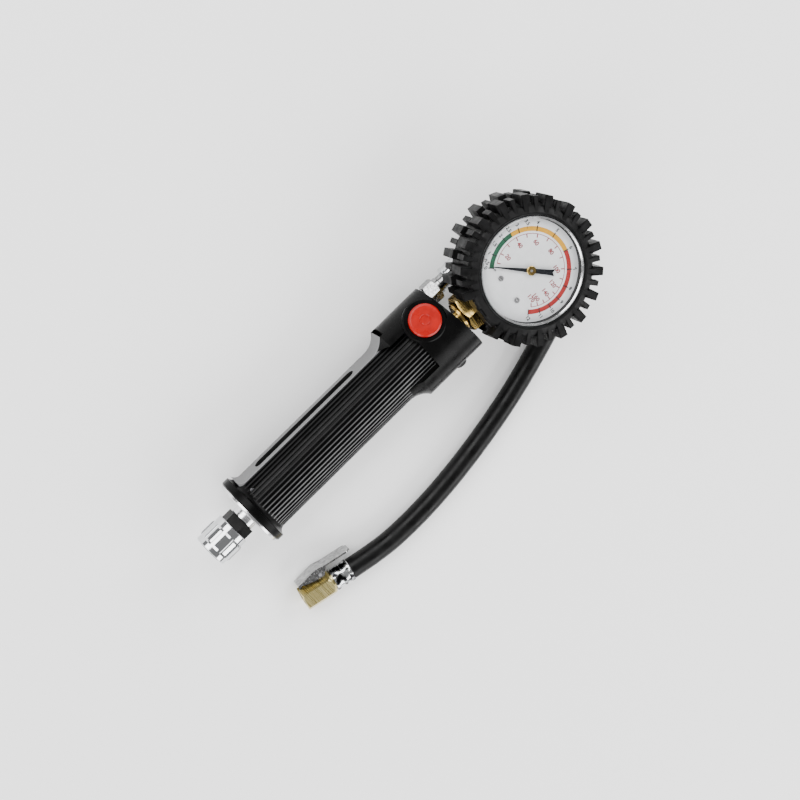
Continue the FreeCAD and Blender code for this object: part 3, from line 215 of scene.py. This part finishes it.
def ribbed_black():
    """Moulded black whose rib crests carry a painted highlight, strongest on the hose's side, where
    the side light falls.
    """
    finish = moulded("ribbed_black")
    axes = finish.axes()
    across, upwards = axes["Y"], axes["Z"]
    angle = finish.calculate("MULTIPLY", finish.calculate("ARCTAN2", upwards, across), RIB_COUNT)
    crest = finish.ranged(finish.calculate("COSINE", angle), 1, 0, -0.95, -0.45)
    squares = [finish.calculate("MULTIPLY", value, value) for value in (across, upwards)]
    radius = finish.calculate("SQRT", finish.calculate("ADD", *squares))
    on_grip = finish.calculate("LESS_THAN", radius, (GRIP_RADIUS + 0.3) * MM)
    inwards = finish.ranged(across, 1.0, 0.10, -6 * MM, 8 * MM)
    outwards = finish.ranged(across, 0.05, 1.0, -17 * MM, -13 * MM)
    patches = finish.ranged(finish.noise(9), 0.7, 1.0)
    crest_highlight = crest
    for limit in (on_grip, inwards, outwards, patches):
        crest_highlight = finish.calculate("MULTIPLY", crest_highlight, limit)
    # Painted highlight: the rib crests are tinted pale, most on the -Y flank that faces the side
    # light.
    finish.tint(crest_highlight, PLAIN_RIB_BLACK, CREST_PAINTED_HIGHLIGHT, 0, 1)
    return finish.material


SLOT_HALF = 3.6
SLOT_FLOOR = 17.0
RIM_INSIDE, RIM_OUTSIDE = 6.9, 7.3


def satin_grey():
    """Satin grey metal; its slot is painted near-black as painted shade in the recess, and a
    painted highlight runs along its rim.
    """
    finish = Finish("satin_grey", (0.11, 0.11, 0.112), 0.42, 0.2)
    finish.grain(0.5, 0.010, 0.36, 0.50)
    axes = finish.axes()
    # Inside the slot the colour is near-black: painted shade in the recess.
    off_middle = finish.calculate("ABSOLUTE", axes["Z"])
    beside_slot = finish.calculate("GREATER_THAN", off_middle, SLOT_HALF * MM)
    outer_face = finish.calculate("GREATER_THAN", axes["Y"], SLOT_FLOOR * MM)
    outside_slot_shade = finish.calculate("MAXIMUM", beside_slot, outer_face)
    # Painted highlight: a pale band along the rim, where the chamfer would catch the light.
    rim_highlight = finish.ranged(off_middle, 0, 1, RIM_INSIDE * MM, RIM_OUTSIDE * MM)
    patches = finish.calculate("MULTIPLY", finish.noise(9), 0.5)
    tone_with_rim_highlight = finish.calculate("ADD", finish.calculate("ADD", patches, rim_highlight), 0.25)
    # The tint carries random tone plus both painted marks: the rim highlight and the near-black
    # slot shade.
    finish.tint(finish.calculate("MULTIPLY", tone_with_rim_highlight, outside_slot_shade),
                (0.004, 0.004, 0.004), (0.24, 0.24, 0.245), 0, 1.1)
    return finish.material


def polished_chrome():
    finish = Finish("polished_chrome", (0.62, 0.63, 0.64), 0.08, 1.0)
    finish.gloss(finish.noise(2.5), 0.05, 0.13)
    finish.relief(finish.noise(1.2, detail=2.0), 0.006)
    return finish.material


def dark_chrome(name, tone, patch):
    """Chrome made darker than the polished chrome, as a painted dark reflection over the whole
    part, in uneven random patches.
    """
    finish = Finish(name, (tone, tone, tone * 1.02), 0.16, 1.0)
    finish.tint(finish.noise(patch), (tone * 0.6,) * 3, (tone * 1.3,) * 3)
    finish.gloss(finish.noise(patch * 0.6), 0.08, 0.30)
    finish.relief(finish.noise(1.0, detail=2.0), 0.010)
    return finish.material


def turned_bright():
    """Bright turned metal with faint tool rings round the part's long axis."""
    finish = Finish("turned_bright", (0.72, 0.72, 0.73), 0.22, 1.0)
    place = finish.place(stretch=(1, 0.02, 0.02))
    finish.gloss(finish.noise(0.3, place), 0.15, 0.30)
    finish.relief(finish.noise(0.22, place, detail=2.0), 0.006)
    return finish.material


def dark_polished_steel():
    finish = Finish("dark_polished_steel", (0.10, 0.10, 0.11), 0.16, 1.0)
    finish.gloss(finish.noise(1.5), 0.11, 0.24)
    finish.relief(finish.noise(0.8, detail=2.0), 0.004)
    return finish.material


def coupler_black():
    """Black oxide steel with a low gloss."""
    finish = Finish("coupler_black", (0.002, 0.002, 0.002), 0.3, Specular_IOR_Level=0.08)
    return finish.grain(0.4, 0.006, 0.24, 0.38).material


def crimped_chrome():
    """Chrome with the dints that crimping jaws leave, as bumps, each painted near-black as a
    painted dark reflection.
    """
    finish = Finish("crimped_chrome", (0.40, 0.40, 0.41), 0.14, 1.0)
    dints = finish.noise(3.2, detail=0.0)
    # Painted dark reflection: the dints are tinted near-black.
    finish.tint(dints, (0.010, 0.010, 0.011), (0.66, 0.67, 0.68), 0.44, 0.58)
    finish.gloss(finish.noise(1.5), 0.08, 0.24)
    finish.relief(dints, 0.9)
    return finish.material


def spring_wire():
    finish = Finish("spring_wire", (0.42, 0.42, 0.44), 0.3, 1.0)
    finish.gloss(finish.noise(1.0), 0.24, 0.42)
    finish.tint(finish.noise(3.0), (0.34, 0.34, 0.36), (0.48, 0.48, 0.50))
    return finish.material


def golden_brass():
    finish = Finish("golden_brass", (0.42, 0.29, 0.08), 0.22, 1.0)
    place = finish.place(stretch=(1, 0.03, 0.03))
    finish.tint(finish.noise(0.5, place), (0.32, 0.20, 0.05), (0.52, 0.38, 0.13))
    finish.gloss(finish.noise(0.4, place), 0.14, 0.30)
    finish.relief(finish.noise(0.3, place, detail=2.0), 0.010)
    return finish.material


def pale_brass(turn):
    """Bare machined brass with tool rings across the chuck's own axis."""
    finish = Finish("pale_brass", (0.56, 0.47, 0.20), 0.30, 1.0)
    place = finish.place(turn, stretch=(1, 0.03, 0.03))
    finish.tint(finish.noise(0.6, place), (0.50, 0.41, 0.16), (0.62, 0.53, 0.24))
    finish.gloss(finish.noise(0.4, place), 0.24, 0.36)
    finish.relief(finish.noise(0.3, place, detail=2.0), 0.003)
    return finish.material


def machined_aluminium():
    finish = Finish("machined_aluminium", (0.66, 0.67, 0.68), 0.3, 1.0)
    place = finish.place(stretch=(1, 0.04, 0.04))
    finish.gloss(finish.noise(0.3, place), 0.22, 0.38)
    finish.relief(finish.noise(0.25, place, detail=2.0), 0.008)
    return finish.material


def black_plug():
    finish = Finish("black_plug", (0.010, 0.010, 0.010), 0.5)
    return finish.grain(0.3, 0.015, 0.42, 0.58).material


def seal_rubber():
    finish = Finish("seal_rubber", (0.020, 0.020, 0.020), 0.6)
    return finish.grain(0.25, 0.010, 0.5, 0.7).material


def boot_rubber():
    """Deep black moulded rubber, a little dusty and uneven."""
    finish = Finish("boot_rubber", DEEP_BLACK, 0.5, Specular_IOR_Level=0.12)
    finish.relief(finish.noise(3.0, detail=3.0), 0.05)
    finish.grain(0.35, 0.020, 0.36, 0.58)
    finish.tint(finish.noise(5, detail=5.0), (0.0012, 0.0012, 0.0012), (0.0050, 0.0050, 0.0052))
    return finish.material


def hose_rubber():
    """Smooth extruded rubber with a soft skin."""
    finish = Finish("hose_rubber", DEEP_BLACK, 0.36, Specular_IOR_Level=0.14)
    finish.relief(finish.noise(6.0, detail=2.0), 0.06)
    finish.grain(0.4, 0.010, 0.26, 0.44)
    finish.tint(finish.noise(7, detail=4.0), (0.0014, 0.0014, 0.0014), (0.0038, 0.0038, 0.0038))
    return finish.material


def red_plastic():
    finish = Finish("red_plastic", (0.30, 0.0025, 0.0005), 0.42, Specular_IOR_Level=0.25)
    finish.grain(0.4, 0.008, 0.26, 0.38)
    finish.tint(finish.noise(5), (0.26, 0.0020, 0.0004), (0.34, 0.0035, 0.0008))
    return finish.material


def painted_case():
    finish = Finish("painted_case", (0.05, 0.05, 0.05), 0.4)
    return finish.grain(0.5, 0.012, 0.32, 0.48).material


def bezel_metal():
    finish = Finish("bezel_metal", (0.74, 0.75, 0.76), 0.2, 1.0)
    finish.gloss(finish.noise(2.0), 0.14, 0.26)
    finish.relief(finish.noise(0.6, detail=2.0), 0.005)
    return finish.material


def dial_white():
    finish = Finish("dial_white", (0.56, 0.57, 0.58), 0.42)
    finish.gloss(finish.noise(1.2), 0.36, 0.50)
    finish.tint(finish.noise(11), (0.53, 0.54, 0.55), (0.60, 0.61, 0.62))
    return finish.material


def ink(name, colour, darker):
    finish = Finish(name, colour, 0.45)
    finish.tint(finish.noise(2.5), darker, colour)
    finish.gloss(finish.noise(1.0), 0.4, 0.52)
    return finish.material


def pointer_paint():
    finish = Finish("pointer_paint", (0.003, 0.004, 0.006), 0.35, Specular_IOR_Level=0.2)
    return finish.grain(0.4, 0.004, 0.28, 0.42).material


def clear_window():
    """Clear flat window: see-through, with a polished face."""
    finish = Finish("clear_window", (0.05, 0.05, 0.05), 0.03, Alpha=0.02)
    finish.gloss(finish.noise(8), 0.02, 0.05)
    finish.material.surface_render_method = "BLENDED"
    return finish.material


CHUCK_TURN = 13.2  # degrees between the chuck's axis and X

FINISHES = {
    "black_plastic": moulded_black(),
    "grey_lever": satin_grey(),
    "chrome": polished_chrome(),
    "bright_steel": turned_bright(),
    "spring_steel": spring_wire(),
    "brass": golden_brass(),
    "tube_aluminium": machined_aluminium(),
    "black_plug": black_plug(),
    "seal_rubber": seal_rubber(),
    "boot_rubber": boot_rubber(),
    "hose_rubber": hose_rubber(),
    "red_plastic": red_plastic(),
    "case_metal": painted_case(),
    "clear_window": clear_window(),
    "dark_ring": dark_polished_steel(),
    "dial_face": dial_white(),
    "pointer_black": pointer_paint(),
}
OWN_FINISHES = {
    "coupler_body": coupler_black(),
    "chuck_ferrule": crimped_chrome(),
    "handle_body": ribbed_black(),
    # Darker copies of chrome for the fitting and the clip: painted dark reflection.
    "hose_fitting": dark_chrome("fitting_chrome", 0.30, 1.4),
    "chuck_clip": dark_chrome("clip_chrome", 0.34, 2.0),
    "gauge_washer": FINISHES["brass"],
    "gauge_nipple": FINISHES["brass"],
    "gauge_bezel": bezel_metal(),
    "chuck_body": pale_brass(CHUCK_TURN),
}


def dress_cad_nodes():
    """Each CAD node gets its own finish, or else that of its slot in the record."""
    for subpart in frame["record"]["subparts"]:
        node = nodes[subpart["node"]]
        node.data.materials.clear()
        node.data.materials.append(
            OWN_FINISHES.get(subpart["node"], FINISHES[subpart["material_slot"]]))


# -------------------------------------------------------------------- camera

CAMERA_PLACE = (0.050404, 0.339084, 0.899308)
CAMERA_RIGHT = (0.709149, -0.629464, 0.31719)
CAMERA_UP = (0.699116, 0.685547, -0.202636)
CAMERA_BACK = (-0.089917, 0.365444, 0.926487)


def make_camera():
    data = bpy.data.cameras.new("camera")
    data.sensor_width = 36.0
    data.lens = 76.0
    camera = linked("camera", data)
    turn = Matrix((CAMERA_RIGHT, CAMERA_UP, CAMERA_BACK)).transposed().to_4x4()
    camera.matrix_world = Matrix.Translation(CAMERA_PLACE) @ turn
    bpy.context.scene.camera = camera


# ---------------------------------------------------------------------- hose

HOSE_DIAMETER = 0.013
HOSE_ROUTE = [
    (0.2179, 0.0146, -0.0092), (0.2399, 0.0146, -0.0092), (0.2553, 0.0069, -0.0128),
    (0.2655, -0.0070, -0.0160), (0.2683, -0.0240, -0.0179), (0.2630, -0.0398, -0.0182),
    (0.2504, -0.0514, -0.0182), (0.2240, -0.0606, -0.0182), (0.1920, -0.0702, -0.0182),
    (0.1600, -0.0769, -0.0182), (0.1260, -0.0818, -0.0182), (0.0960, -0.0832, -0.0179),
    (0.0700, -0.0816, -0.0174), (0.0495, -0.0768, -0.0174),
]


def make_hose():
    """One smooth curve from the head round behind the gauge and back to the chuck."""
    curve = bpy.data.curves.new("air_hose", "CURVE")
    curve.dimensions = "3D"
    spline = curve.splines.new("NURBS")
    spline.points.add(len(HOSE_ROUTE) - 1)
    for point, place in zip(spline.points, HOSE_ROUTE):
        point.co = (*place, 1)
    spline.order_u = 3
    spline.use_endpoint_u = True
    spline.resolution_u = 12
    curve.bevel_depth = HOSE_DIAMETER / 2
    curve.bevel_resolution = 8
    curve.use_fill_caps = True
    hose = linked("air_hose", curve)
    fit_to(hose, "frame", FINISHES["hose_rubber"])
    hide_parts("hose")


# ------------------------------------------------------------ geometry nodes

class Repeat:
    """A tree of geometry nodes that puts copies of a form in place and gives them a finish."""

    def __init__(self, name, inputs):
        self.tree = bpy.data.node_groups.new(name, "GeometryNodeTree")
        face = self.tree.interface
        face.new_socket("Geometry", in_out="INPUT", socket_type="NodeSocketGeometry")
        for label, kind in inputs.items():
            face.new_socket(label, in_out="INPUT", socket_type="NodeSocket" + kind)
        face.new_socket("Finish", in_out="INPUT", socket_type="NodeSocketMaterial")
        face.new_socket("Geometry", in_out="OUTPUT", socket_type="NodeSocketGeometry")
        self.inputs = self.node("NodeGroupInput").outputs

    def node(self, kind, **settings):
        made = self.tree.nodes.new(kind)
        for name, value in settings.items():
            setattr(made, name, value)
        return made

    def join(self, source, target):
        self.tree.links.new(source, target)

    def spread(self, points, form, rotation):
        """Copies of the form at the points, made real and finished: the end of the tree."""
        copies = self.node("GeometryNodeInstanceOnPoints")
        self.join(points, copies.inputs["Points"])
        self.join(form, copies.inputs["Instance"])
        self.join(rotation, copies.inputs["Rotation"])
        real = self.node("GeometryNodeRealizeInstances")
        self.join(copies.outputs[0], real.inputs[0])
        finished = self.node("GeometryNodeSetMaterial")
        self.join(real.outputs[0], finished.inputs["Geometry"])
        self.join(self.inputs["Finish"], finished.inputs["Material"])
        self.join(finished.outputs[0], self.node("NodeGroupOutput").inputs[0])

    def work_into(self, piece, **values):
        """Runs the tree on the piece and leaves a plain mesh; Mark_Width means Mark Width."""
        modifier = piece.modifiers.new("repeat", "NODES")
        modifier.node_group = self.tree
        for item in self.tree.interface.items_tree:
            value = values.get(item.name.replace(" ", "_"))
            if item.in_out == "INPUT" and value is not None:
                modifier[item.identifier] = value
        mesh = plain_mesh(piece)
        piece.modifiers.clear()
        piece.data = mesh


# ---------------------------------------------------------------- dial print

# Each mark is a value and its angle in degrees from the dial's top, to the left of it.
DIAL_TURN = -4.0
BAR_MARKS = [
    (0, 137.0), (0.5, 130.0), (1, 119.0), (1.5, 106.5), (2, 94.5), (2.5, 82.5), (3, 70.5),
    (3.5, 57.5), (4, 43.5), (5, 16.5), (6, -11.5), (7, -38.5), (8, -62.5), (9, -82.0),
    (10, -97.5), (11, -113.5), (12, -130.0),
]
POUND_MARKS = [
    (10, 128.5), (20, 113.0), (30, 95.5), (40, 77.5), (50, 59.5), (60, 41.0), (70, 21.5),
    (80, 1.5), (90, -18.5), (100, -37.5), (110, -54.0), (120, -68.5), (130, -80.5),
    (140, -92.0), (150, -103.0), (160, -114.5), (170, -125.5),
]
POUNDS_NUMBERED = (20, 40, 60, 80, 100, 120, 140, 160, 170)
BAND_INNER, BAND_OUTER = 22.3, 25.0
GREEN_END, YELLOW_END = 82.5, -11.5
BAR_NUMBER_RADIUS, BAR_NUMBER_HEIGHT = 27.2, 2.0
POUND_NUMBER_RADIUS, POUND_NUMBER_HEIGHT = 15.9, 2.4
POUND_MARK_INNER, POUND_MARK_OUTER = 18.7, 20.9
POUND_ARC_INNER, POUND_ARC_OUTER = 20.7, 21.05
INK_UNDERSIDE, BAND_THICKNESS = 0.01, 0.04
dial_low, dial_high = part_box("dial")
GAUGE_AXIS = Matrix.Translation(((dial_low.x + dial_high.x) / 2, (dial_low.y + dial_high.y) / 2, 0))
DIAL_PLACE = (GAUGE_AXIS @ Matrix.Translation((0, 0, dial_high.z))
              @ Matrix.Rotation(math.radians(DIAL_TURN), 4, "Z"))


def on_dial(radius, degrees, height=0.0):
    """A point over the dial, lengths in millimetres and the angle from the dial's top."""
    angle = math.radians(degrees)
    return Vector((radius * math.cos(angle), radius * math.sin(angle), height)) * MM


def printed(piece, finish):
    """A print piece is set in place on the dial."""
    piece.data.transform(DIAL_PLACE)
    fit_to(piece, "frame", finish)


def arc_strip(name, inner, outer, start, end, finish):
    """A flat printed strip round the dial's middle, as a thin closed solid."""
    steps = int(abs(end - start) / 2.5)
    section = [(inner, INK_UNDERSIDE), (outer, INK_UNDERSIDE),
               (outer, BAND_THICKNESS), (inner, BAND_THICKNESS)]

    def build(bm):
        rings = []
        for step in range(steps + 1):
            angle = start + (end - start) * step / steps
            rings.append([bm.verts.new(on_dial(radius, angle, level))
                          for radius, level in section])
        for first, second in zip(rings, rings[1:]):
            for side in range(4):
                after = (side + 1) % 4
                bm.faces.new((first[side], first[after], second[after], second[side]))
        bm.faces.new(rings[0])
        bm.faces.new(rings[-1])

    printed(mesh_from(name, build), finish)


def marks_repeat():
    """Printed marks at loose points, each along the line from the dial's middle."""
    repeat = Repeat("dial_marks", {"Mark Length": "Float", "Mark Width": "Float",
                                   "Mark Height": "Float"})
    size = repeat.node("ShaderNodeCombineXYZ")
    for label, axis in (("Mark Length", "X"), ("Mark Width", "Y"), ("Mark Height", "Z")):
        repeat.join(repeat.inputs[label], size.inputs[axis])
    mark = repeat.node("GeometryNodeMeshCube")
    repeat.join(size.outputs[0], mark.inputs["Size"])
    flat = repeat.node("ShaderNodeVectorMath", operation="MULTIPLY")
    repeat.join(repeat.node("GeometryNodeInputPosition").outputs[0], flat.inputs[0])
    flat.inputs[1].default_value = (1, 1, 0)
    outwards = repeat.node("FunctionNodeAlignRotationToVector", axis="X", pivot_axis="Z")
    repeat.join(flat.outputs[0], outwards.inputs["Vector"])
    repeat.spread(repeat.inputs["Geometry"], mark.outputs["Mesh"], outwards.outputs["Rotation"])
    return repeat


def radial_marks(name, repeat, angles, inner, outer, width, finish, height=0.05):
    """Short printed lines from the inner to the outer radius, one at each angle."""
    mesh = bpy.data.meshes.new(name)
    mesh.from_pydata([on_dial((inner + outer) / 2, angle, height / 2 + 0.005)
                      for angle in angles], [], [])
    piece = linked(name, mesh)
    repeat.work_into(piece, Mark_Length=(outer - inner) * MM, Mark_Width=width * MM,
                     Mark_Height=height * MM, Finish=finish)
    printed(piece, finish)


CAPITAL_SHARE = 0.69
INK_SPREAD = 0.045


def number_mesh(text, tall):
    """One number as a flat mesh about its own middle, tall millimetres high.

    CAPITAL_SHARE is the height of a digit in the type's size; INK_SPREAD thickens its strokes.
    """
    words = bpy.data.curves.new("number", "FONT")
    words.body = text
    words.align_x = "CENTER"
    words.align_y = "CENTER"
    words.size = tall * MM / CAPITAL_SHARE
    words.extrude = 0.02 * MM
    words.offset = INK_SPREAD * tall * MM
    words.resolution_u = 3
    carrier = linked("number", words)
    mesh = plain_mesh(carrier)
    bpy.data.objects.remove(carrier)
    return mesh


def numbers(name, marks, radius, tall, finish):
    """Numbers round the dial, all upright when the dial's own top is up."""
    upright = Matrix.Rotation(math.radians(-90), 4, "Z")

    def build(bm):
        for value, angle in marks:
            mesh = number_mesh("%g" % value, tall)
            mesh.transform(Matrix.Translation(on_dial(radius, angle, 0.03)) @ upright)
            bm.from_mesh(mesh)

    printed(mesh_from(name, build), finish)


def print_bands():
    first, last = BAR_MARKS[0][1], BAR_MARKS[-1][1]
    arc_strip("band_green", BAND_INNER, BAND_OUTER, first, GREEN_END,
              ink("green_ink", (0.001, 0.060, 0.026), (0.001, 0.045, 0.018)))
    arc_strip("band_yellow", BAND_INNER, BAND_OUTER, GREEN_END, YELLOW_END,
              ink("yellow_ink", (0.50, 0.25, 0.0005), (0.44, 0.21, 0.0005)))
    arc_strip("band_red", BAND_INNER, BAND_OUTER, YELLOW_END, last,
              ink("coral_ink", (0.27, 0.006, 0.005), (0.22, 0.004, 0.003)))


def print_bar_scale(repeat):
    black = ink("black_ink", (0.003, 0.003, 0.006), (0.001, 0.001, 0.003))
    whole = [angle for value, angle in BAR_MARKS if value == int(value)]
    halves = [angle for value, angle in BAR_MARKS if value != int(value)]
    radial_marks("bar_marks", repeat, whole, BAND_INNER - 0.1, BAND_OUTER + 0.6, 0.55,
                 black, 0.09)
    radial_marks("bar_half_marks", repeat, halves, BAND_OUTER - 1.1, BAND_OUTER + 0.1, 0.25,
                 black, 0.08)
    numbers("bar_numbers", BAR_MARKS, BAR_NUMBER_RADIUS, BAR_NUMBER_HEIGHT, black)


def print_pound_scale(repeat):
    red = ink("red_ink", (0.20, 0.010, 0.016), (0.16, 0.006, 0.010))
    angles = [angle for value, angle in POUND_MARKS]
    arc_strip("pound_arc", POUND_ARC_INNER, POUND_ARC_OUTER, angles[0], angles[-1], red)
    radial_marks("pound_marks", repeat, angles, POUND_MARK_INNER, POUND_MARK_OUTER, 0.60, red)
    numbered = [mark for mark in POUND_MARKS if mark[0] in POUNDS_NUMBERED]
    numbers("pound_numbers", numbered, POUND_NUMBER_RADIUS, POUND_NUMBER_HEIGHT, red)


def print_dial():
    repeat = marks_repeat()
    print_bands()
    print_bar_scale(repeat)
    print_pound_scale(repeat)


# ------------------------------------------------------------------- needle

NEEDLE_AIM = 131.0
NEEDLE_LOW, NEEDLE_HIGH = 28.0, 28.4
NEEDLE_EDGE = [(22.8, 0.25), (2.5, 1.10), (-2.5, 1.30), (-11.5, 1.55), (-14.4, 2.05)]
NEEDLE_NOTCH = (-13.2, 0.0)


def make_needle():
    """The dial needle, broad at the hub, with a notched tail; its edge runs from the tip."""
    other_edge = [(along, -side) for along, side in reversed(NEEDLE_EDGE)]
    outline = [*NEEDLE_EDGE, NEEDLE_NOTCH, *other_edge]

    def build(bm):
        low, high = [[bm.verts.new(Vector((along, side, level)) * MM) for along, side in outline]
                     for level in (NEEDLE_LOW, NEEDLE_HIGH)]
        bm.faces.new(low)
        bm.faces.new(high)
        for near in range(len(low)):
            far = (near + 1) % len(low)
            bm.faces.new((low[near], low[far], high[far], high[near]))
        bm.transform(GAUGE_AXIS @ Matrix.Rotation(math.radians(NEEDLE_AIM), 4, "Z"))

    needle = fit_to(mesh_from("dial_needle", build), "pointer",
                    FINISHES["pointer_black"])
    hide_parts("pointer")


# -------------------------------------------------------------- boot ridges

LUG_STEP = 20.0
WIDE_COUNT, WIDE_FIRST = 17, -160.0
NARROW_COUNT, NARROW_FIRST = 16, -150.0
RIDGE_LOW = 25.0
RIDGE_TAPER = 0.7
LUGS_PLACE = GAUGE_AXIS @ Matrix.Rotation(math.radians(DIAL_TURN), 4, "Z")


def round_repeat():
    """One form in even steps round the Z axis."""
    repeat = Repeat("form_round", {"Count": "Int", "First Turn": "Float", "Step": "Float"})
    line = repeat.node("GeometryNodeMeshLine")
    repeat.join(repeat.inputs["Count"], line.inputs["Count"])
    line.inputs["Offset"].default_value = (0, 0, 0)
    angle = repeat.node("ShaderNodeMath", operation="MULTIPLY_ADD")
    repeat.join(repeat.node("GeometryNodeInputIndex").outputs[0], angle.inputs[0])
    repeat.join(repeat.inputs["Step"], angle.inputs[1])
    repeat.join(repeat.inputs["First Turn"], angle.inputs[2])
    euler = repeat.node("ShaderNodeCombineXYZ")
    repeat.join(angle.outputs[0], euler.inputs["Z"])
    turn = repeat.node("FunctionNodeEulerToRotation")
    repeat.join(euler.outputs[0], turn.inputs[0])
    repeat.spread(line.outputs[0], repeat.inputs["Geometry"], turn.outputs[0])
    return repeat


def ridge(bm, ends, halves, tops):
    """A rib along the X axis in millimetres; each pair gives its inner and its outer end."""
    corners = [(ends[0], -halves[0]), (ends[1], -halves[1]),
               (ends[1], halves[1]), (ends[0], halves[0])]
    levels = (tops[0], tops[1], tops[1], tops[0])
    foot = [bm.verts.new(Vector((along, side, RIDGE_LOW)) * MM) for along, side in corners]
    crest = [bm.verts.new(Vector((along, side * RIDGE_TAPER, level)) * MM)
             for (along, side), level in zip(corners, levels)]
    bm.faces.new(foot)
    bm.faces.new(crest)
    for near in range(len(foot)):
        far = (near + 1) % len(foot)
        bm.faces.new((foot[near], foot[far], crest[far], crest[near]))


def ridges_round(name, repeat, count, first_turn, ends, halves, tops):
    """One row of ridges, from the first turn on in steps of one lug."""
    rubber = FINISHES["boot_rubber"]
    piece = mesh_from(name, lambda bm: ridge(bm, ends, halves, tops))
    repeat.work_into(piece, Count=count, First_Turn=math.radians(first_turn),
                     Step=math.radians(LUG_STEP), Finish=rubber)
    piece.data.transform(LUGS_PLACE)
    fit_to(piece, "frame", rubber)


def make_boot_ridges():
    """Ribs on the boot's front, one at each lug; none lies over the gauge's nut."""
    repeat = round_repeat()
    ridges_round("boot_wide_ridges", repeat, WIDE_COUNT, WIDE_FIRST,
                 ends=(33.4, 43.1), halves=(1.7, 2.6), tops=(31.5, 30.7))
    ridges_round("boot_narrow_ridges", repeat, NARROW_COUNT, NARROW_FIRST,
                 ends=(33.6, 41.8), halves=(1.1, 1.8), tops=(31.3, 29.3))


# --------------------------------------------------------------------- stage

FLOOR_LEVEL = -0.0249
FLOOR_HALF = 3.0
SKY_STRENGTH = 0.30
LIGHTS_AIM = (0.14, -0.02, 0.0)
LIGHTS = [
    ("key_light", (0.00, 1.10, 1.00), (1.7, 0.9), 34),
    ("side_light", (0.35, -1.15, 0.75), (1.7, 0.8), 30),
    ("near_light", (-1.15, -0.15, 0.85), (1.2, 0.8), 22),
    ("far_light", (1.35, 0.15, 0.85), (1.2, 0.8), 22),
]


def lay_floor():
    def build(bm):
        corners = ((-1, -1), (1, -1), (1, 1), (-1, 1))
        bm.faces.new([bm.verts.new((x * FLOOR_HALF, y * FLOOR_HALF, FLOOR_LEVEL))
                      for x, y in corners])

    floor = mesh_from("floor", build)
    paper = Finish("paper", (0.93, 0.93, 0.93), 0.9)
    paper.gloss(paper.noise(60), 0.85, 0.95)
    floor.data.materials.append(paper.material)


def light_studio():
    """A pale sky and four broad soft lights round the object."""
    world = bpy.data.worlds.new("studio")
    world.use_nodes = True
    sky = world.node_tree.nodes["Background"].inputs
    sky["Color"].default_value = (1, 1, 1, 1)
    sky["Strength"].default_value = SKY_STRENGTH
    bpy.context.scene.world = world
    for name, place, size, power in LIGHTS:
        data = bpy.data.lights.new(name, "AREA")
        data.shape = "RECTANGLE"
        data.size, data.size_y = size
        data.energy = power
        light = linked(name, data)
        light.location = place
        aim = Vector(LIGHTS_AIM) - Vector(place)
        light.rotation_euler = aim.to_track_quat("-Z", "Y").to_euler()


make_camera()
make_hose()
dress_cad_nodes()
print_dial()
make_needle()
make_boot_ridges()
lay_floor()
light_studio()
